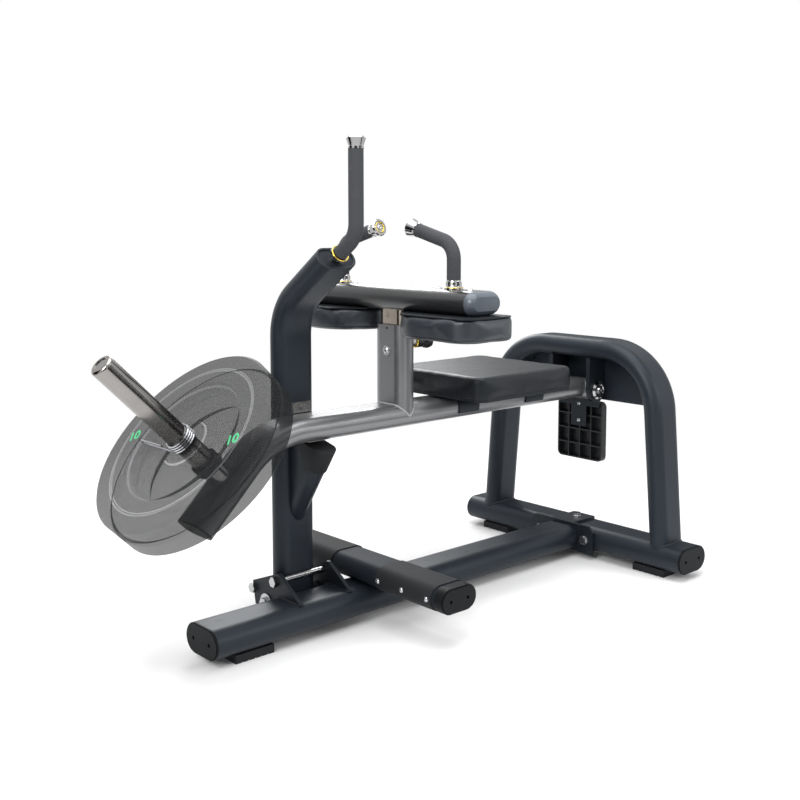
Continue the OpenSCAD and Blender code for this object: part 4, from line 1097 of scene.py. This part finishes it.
class CALF_OT_arch_panel(Operator):
    """Closes the top of the arch with one panel behind the hanger plates, as photographed"""
    bl_idname = "calf.arch_panel"
    bl_label = "Arch panel"

    def execute(self, context):
        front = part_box("hanger_plates")[0].x - panel_gap
        back = front - panel_thick
        outline = self.outline(surface_tree("arch"), (front + back) / 2)
        shape = bmesh.new()
        sheet = shape.faces.new([shape.verts.new((back, y, z)) for y, z in outline])
        made = bmesh.ops.extrude_face_region(shape, geom=[sheet])
        moved = [item for item in made["geom"] if isinstance(item, bmesh.types.BMVert)]
        bmesh.ops.translate(shape, verts=moved, vec=(panel_thick, 0, 0))
        piece = finished_piece("arch_panel", shape, "base_frame", "frame", False)
        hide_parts("arch_webs")
        return {"FINISHED"}

    def outline(self, tree, middle):
        """The panel's outline: up one leg, along the arch's lower side and down the other leg"""
        legs = []
        for step in range(5):
            height = panel_low + (bend_start - panel_low) * step / 4
            hit = tree.ray_cast(Vector((middle, 0, height)), Vector((0, 1, 0)))[0]
            legs.append((hit.y + panel_bite, height))
        steps = 40
        inner = legs[-1][0] - 2 * panel_bite
        top = []
        for step in range(steps + 1):
            across = inner * math.cos(math.pi * step / steps)
            hit = tree.ray_cast(Vector((middle, across, bend_start)), Vector((0, 0, 1)))[0]
            top.append((across, hit.z + panel_bite))
        return legs + top + [(-y, z) for y, z in reversed(legs)]


class CALF_OT_catch(Operator):
    """Forms the catch as the slanting oval tube and rounded rubber cover of the photograph"""
    bl_idname = "calf.catch"
    bl_label = "Catch"

    def execute(self, context):
        low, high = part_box("catch_block")
        cover_low, cover_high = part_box("catch_cover")
        hinge = Vector(joints["mast_hinge"]["pos_m"])
        hinge.x = 0.0
        slope = next(face for face in flat_faces("catch_block")
                     if face[1].y > 0.5 and abs(face[1].x) < 0.1)
        across = slope[1].normalized()
        top = Vector((0, low.y, high.z))
        cover_top = Vector((0, cover_low.y, cover_high.z))
        half = (high.x - low.x) / 2
        cover_half = (cover_high.x - cover_low.x) / 2
        wall = cover_half - half
        inner = top.dot(across)
        outer = slope[0].dot(across)
        face = next(face for face in flat_faces("catch_cover") if face[1].dot(across) > 0.999)
        length = 2 * (face[2] ** 2 - cover_half ** 2) ** 0.5
        start = face[0].dot(Vector((1, 0, 0)).cross(across)) - length / 2
        middle = (low.x + high.x) / 2
        tube = self.oval(middle, half, inner, outer, across, hinge, top, -1.0)
        cover = self.oval(middle, cover_half, inner - wall, outer + wall, across, hinge,
                          cover_top, start)
        piece = finished_piece("catch_tube", tube, "catch_mast", "frame")
        self.sharpened(piece)
        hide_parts("catch_block")
        piece = finished_piece("catch_rubber", cover, "catch_mast", "rubber")
        self.sharpened(piece)
        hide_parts("catch_cover")
        return {"FINISHED"}

    def sharpened(self, piece):
        """A small rounded edge all round the two ends"""
        edge = piece.modifiers.new("edge", "BEVEL")
        edge.width = 0.0015
        edge.segments = 2
        edge.limit_method = "ANGLE"
        edge.angle_limit = math.radians(40)
        apply_modifiers(piece)

    def oval(self, middle, half, inner, outer, across, hinge, top, start):
        """An oval column along the slope, from the mast's side or a start to the arc round the
        hinge on which the catch's top lies"""
        shape = bmesh.new()
        along = Vector((1, 0, 0)).cross(across)
        reach = (top - hinge).length
        count = 48
        lower, upper = [], []
        for step in range(count):
            turn = 2 * math.pi * (step + 0.5) / count
            x = middle + half * math.cos(turn)
            reach_in = outer - half if math.sin(turn) > 0 else inner + half
            n = reach_in + half * math.sin(turn)
            base = Vector((x, 0, 0)) + across * n
            t_top = hinge.dot(along) + (reach ** 2 - (n - hinge.dot(across)) ** 2) ** 0.5
            t_low = max((top.y - base.y) / along.y, start)
            t_low = min(t_low, t_top - 0.0004)
            lower.append(shape.verts.new(base + along * t_low))
            upper.append(shape.verts.new(base + along * t_top))
        for step in range(count):
            following = (step + 1) % count
            shape.faces.new((lower[step], lower[following], upper[following], upper[step]))
        shape.faces.new(upper)
        shape.faces.new(list(reversed(lower)))
        bmesh.ops.triangulate(shape, faces=[f for f in shape.faces if len(f.verts) > 4])
        return shape


class CALF_OT_handle_rings(Operator):
    """Adds the gold rings and the screws of the handles and of the locking pin"""
    bl_idname = "calf.handle_rings"
    bl_label = "Handle rings"

    def execute(self, context):
        places = [frame_towards(*tip) for tip in self.recesses("knee_handle_ends")]
        lift = Matrix.Translation((0, 0, tip_wire))
        rings = [band(tip_radius - tip_wire, tip_wire, place @ lift) for place in places]
        finished_piece("knee_tip_rings", joined(rings), "knee_carriage", "gold")
        screws = [turned(screw_profile, place, 24) for place in places]
        finished_piece("knee_tip_screws", joined(screws), "knee_carriage", "bolt_chrome")
        low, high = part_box("knee_handle_ends")
        feet = [Matrix.Translation((places[0].translation.x, side * (high.y - flange_radius),
                                    low.z + flange_height)) for side in (-1, 1)]
        rings = [band(foot_radius, foot_wire, foot) for foot in feet]
        finished_piece("knee_foot_rings", joined(rings), "knee_carriage", "gold")
        cones = [turned(cone_profile, foot, 56) for foot in feet]
        finished_piece("knee_foot_cones", joined(cones), "knee_carriage", "chrome")
        self.mast_rings()
        self.pin_ring()
        self.cap_pads()
        return {"FINISHED"}

    def recesses(self, name):
        """The recessed round ends of the flared handle ends"""
        return [(middle, direction) for middle, direction, reach in flat_faces(name)
                if abs(reach - tip_radius) < radius_slack and direction.z > 0.1]

    def mast_rings(self):
        """The ring at the mast's end plate and the plug in the upper end of the handle"""
        place = frame_towards(*max(self.recesses("mast_handle_end"), key=lambda tip: tip[0].z))
        finished_piece("mast_handle_plug", turned(dome_profile, place), "catch_mast",
                       "cap_plastic")
        flange = next(face[:2] for face in flat_faces("mast_handle_end")
                      if abs(face[2] - flange_radius) < radius_slack and face[1].z > 0.3)
        ring = band(foot_radius, foot_wire, frame_towards(*flange))
        finished_piece("mast_foot_ring", ring, "catch_mast", "gold")

    def cap_pads(self):
        """The dark discs set into the chromed caps of the pivot"""
        pads = []
        for side in (-1, 1):
            face = max((face for face in flat_faces("pivot_caps", 5e-5)
                        if face[1].y * side > 0.99), key=lambda face: face[2])
            outer = face[2] - cap_rim
            profile = [(cap_head, 0.0), (cap_head, 0.0006), (outer - 0.001, 0.0006), (outer, 0.0)]
            pads.append(turned(profile, frame_towards(face[0], face[1]), 48, True))
        finished_piece("pivot_cap_pads", joined(pads), "base_frame", "cap_plastic")

    def pin_ring(self):
        """The ring round the locking pin's body, beside its knob"""
        low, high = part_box("pin_body")
        middle = Vector((low.x + pin_ring_width, 0.0, (low.z + high.z) / 2))
        half = pin_ring_width / 2
        profile = [(pin_radius, -half), (pin_radius + 0.0022, -half), (pin_radius + 0.0026, 0.0),
                   (pin_radius + 0.0022, half), (pin_radius, half)]
        place = frame_towards(middle, Vector((1, 0, 0)), Vector((0, 1, 0)))
        finished_piece("pin_ring", turned(profile, place, 48, True), "lever", "gold")


class CALF_OT_welds(Operator):
    """Lays the weld beads where tubes and plates meet"""
    bl_idname = "calf.welds"
    bl_label = "Weld beads"

    def execute(self, context):
        radius = context.scene.calf_fittings.weld
        for name, first, second, body, finish, count in weld_pairs:
            lines = [line for line in meeting_lines(first, second) if len(line) > 2]
            if not lines:
                raise RuntimeError(f"no line for the weld between {first} and {second}")
            for number, line in enumerate(lines[:count]):
                bead(f"weld_{name}_{number}", line, radius, body, finish)
        return {"FINISHED"}


class CALF_OT_numbers(Operator):
    """Paints the plain numbers on the outer weight plate"""
    bl_idname = "calf.numbers"
    bl_label = "Plate numbers"

    def execute(self, context):
        sizes = context.scene.calf_fittings
        rings = [face for face in flat_faces("outer_plate")
                 if face[1].dot(horn_axis) > 0.99 and 0.17 < face[2] < 0.19]
        middle = max(rings, key=lambda face: face[0].z)[0]
        shapes = [self.number(middle, *place, sizes) for place in number_places]
        piece = finished_piece("plate_numbers", joined(shapes), "outer_weight", "numbers", False)
        return {"FINISHED"}

    def number(self, middle, angle, turn, sizes):
        """One number, flat on the plate's face at an angle round the horn"""
        drawn = bpy.data.curves.new("number", "FONT")
        drawn.body = "10"
        drawn.size = sizes.number_height * 1.35
        drawn.align_x = "CENTER"
        drawn.align_y = "CENTER"
        drawn.extrude = number_depth
        drawn.offset = number_spread
        shape = drawn_shape("number", drawn)
        up = Vector((0, 0, 1)) - horn_axis * horn_axis.z
        up.normalize()
        across = up.cross(horn_axis)
        outwards = up * math.cos(angle) + across * math.sin(angle)
        place = middle + outwards * sizes.number_radius + horn_axis * number_lift
        top = up * math.cos(turn) + across * math.sin(turn)
        matrix = placed(top.cross(horn_axis), top, horn_axis, place)
        bmesh.ops.transform(shape, matrix=matrix, verts=shape.verts)
        return shape


class CALF_PT_panel(Panel):
    """Lists the steps and the sizes"""
    bl_idname = "CALF_PT_panel"
    bl_label = "Calf raise machine"
    bl_space_type = "VIEW_3D"
    bl_region_type = "UI"
    bl_category = "Calf raise"

    def draw(self, context):
        for step in steps:
            self.layout.operator(step.bl_idname)
        for group in property_groups:
            box = self.layout.box()
            owner = getattr(context.scene, group)
            for name in owner.bl_rna.properties.keys():
                if name not in ("rna_type", "name"):
                    box.prop(owner, name)


property_groups = {"calf_colours": FinishColours, "calf_cushions": CushionSizes,
                   "calf_fittings": FittingSizes, "calf_studio": StudioSizes}
steps = [CALF_OT_studio, CALF_OT_finishes, CALF_OT_seat, CALF_OT_knee_pads, CALF_OT_arch_panel,
         CALF_OT_catch, CALF_OT_handle_rings, CALF_OT_welds, CALF_OT_numbers]


def register():
    for group in property_groups.values():
        bpy.utils.register_class(group)
    for step in steps:
        bpy.utils.register_class(step)
    bpy.utils.register_class(CALF_PT_panel)
    for name, group in property_groups.items():
        setattr(bpy.types.Scene, name, PointerProperty(type=group))


def unregister():
    for name in property_groups:
        delattr(bpy.types.Scene, name)
    bpy.utils.unregister_class(CALF_PT_panel)
    for step in reversed(steps):
        bpy.utils.unregister_class(step)
    for group in property_groups.values():
        bpy.utils.unregister_class(group)


def main():
    register()
    for step in steps:
        area, name = step.bl_idname.split(".")
        getattr(getattr(bpy.ops, area), name)()


if __name__ == "__main__":
    main()
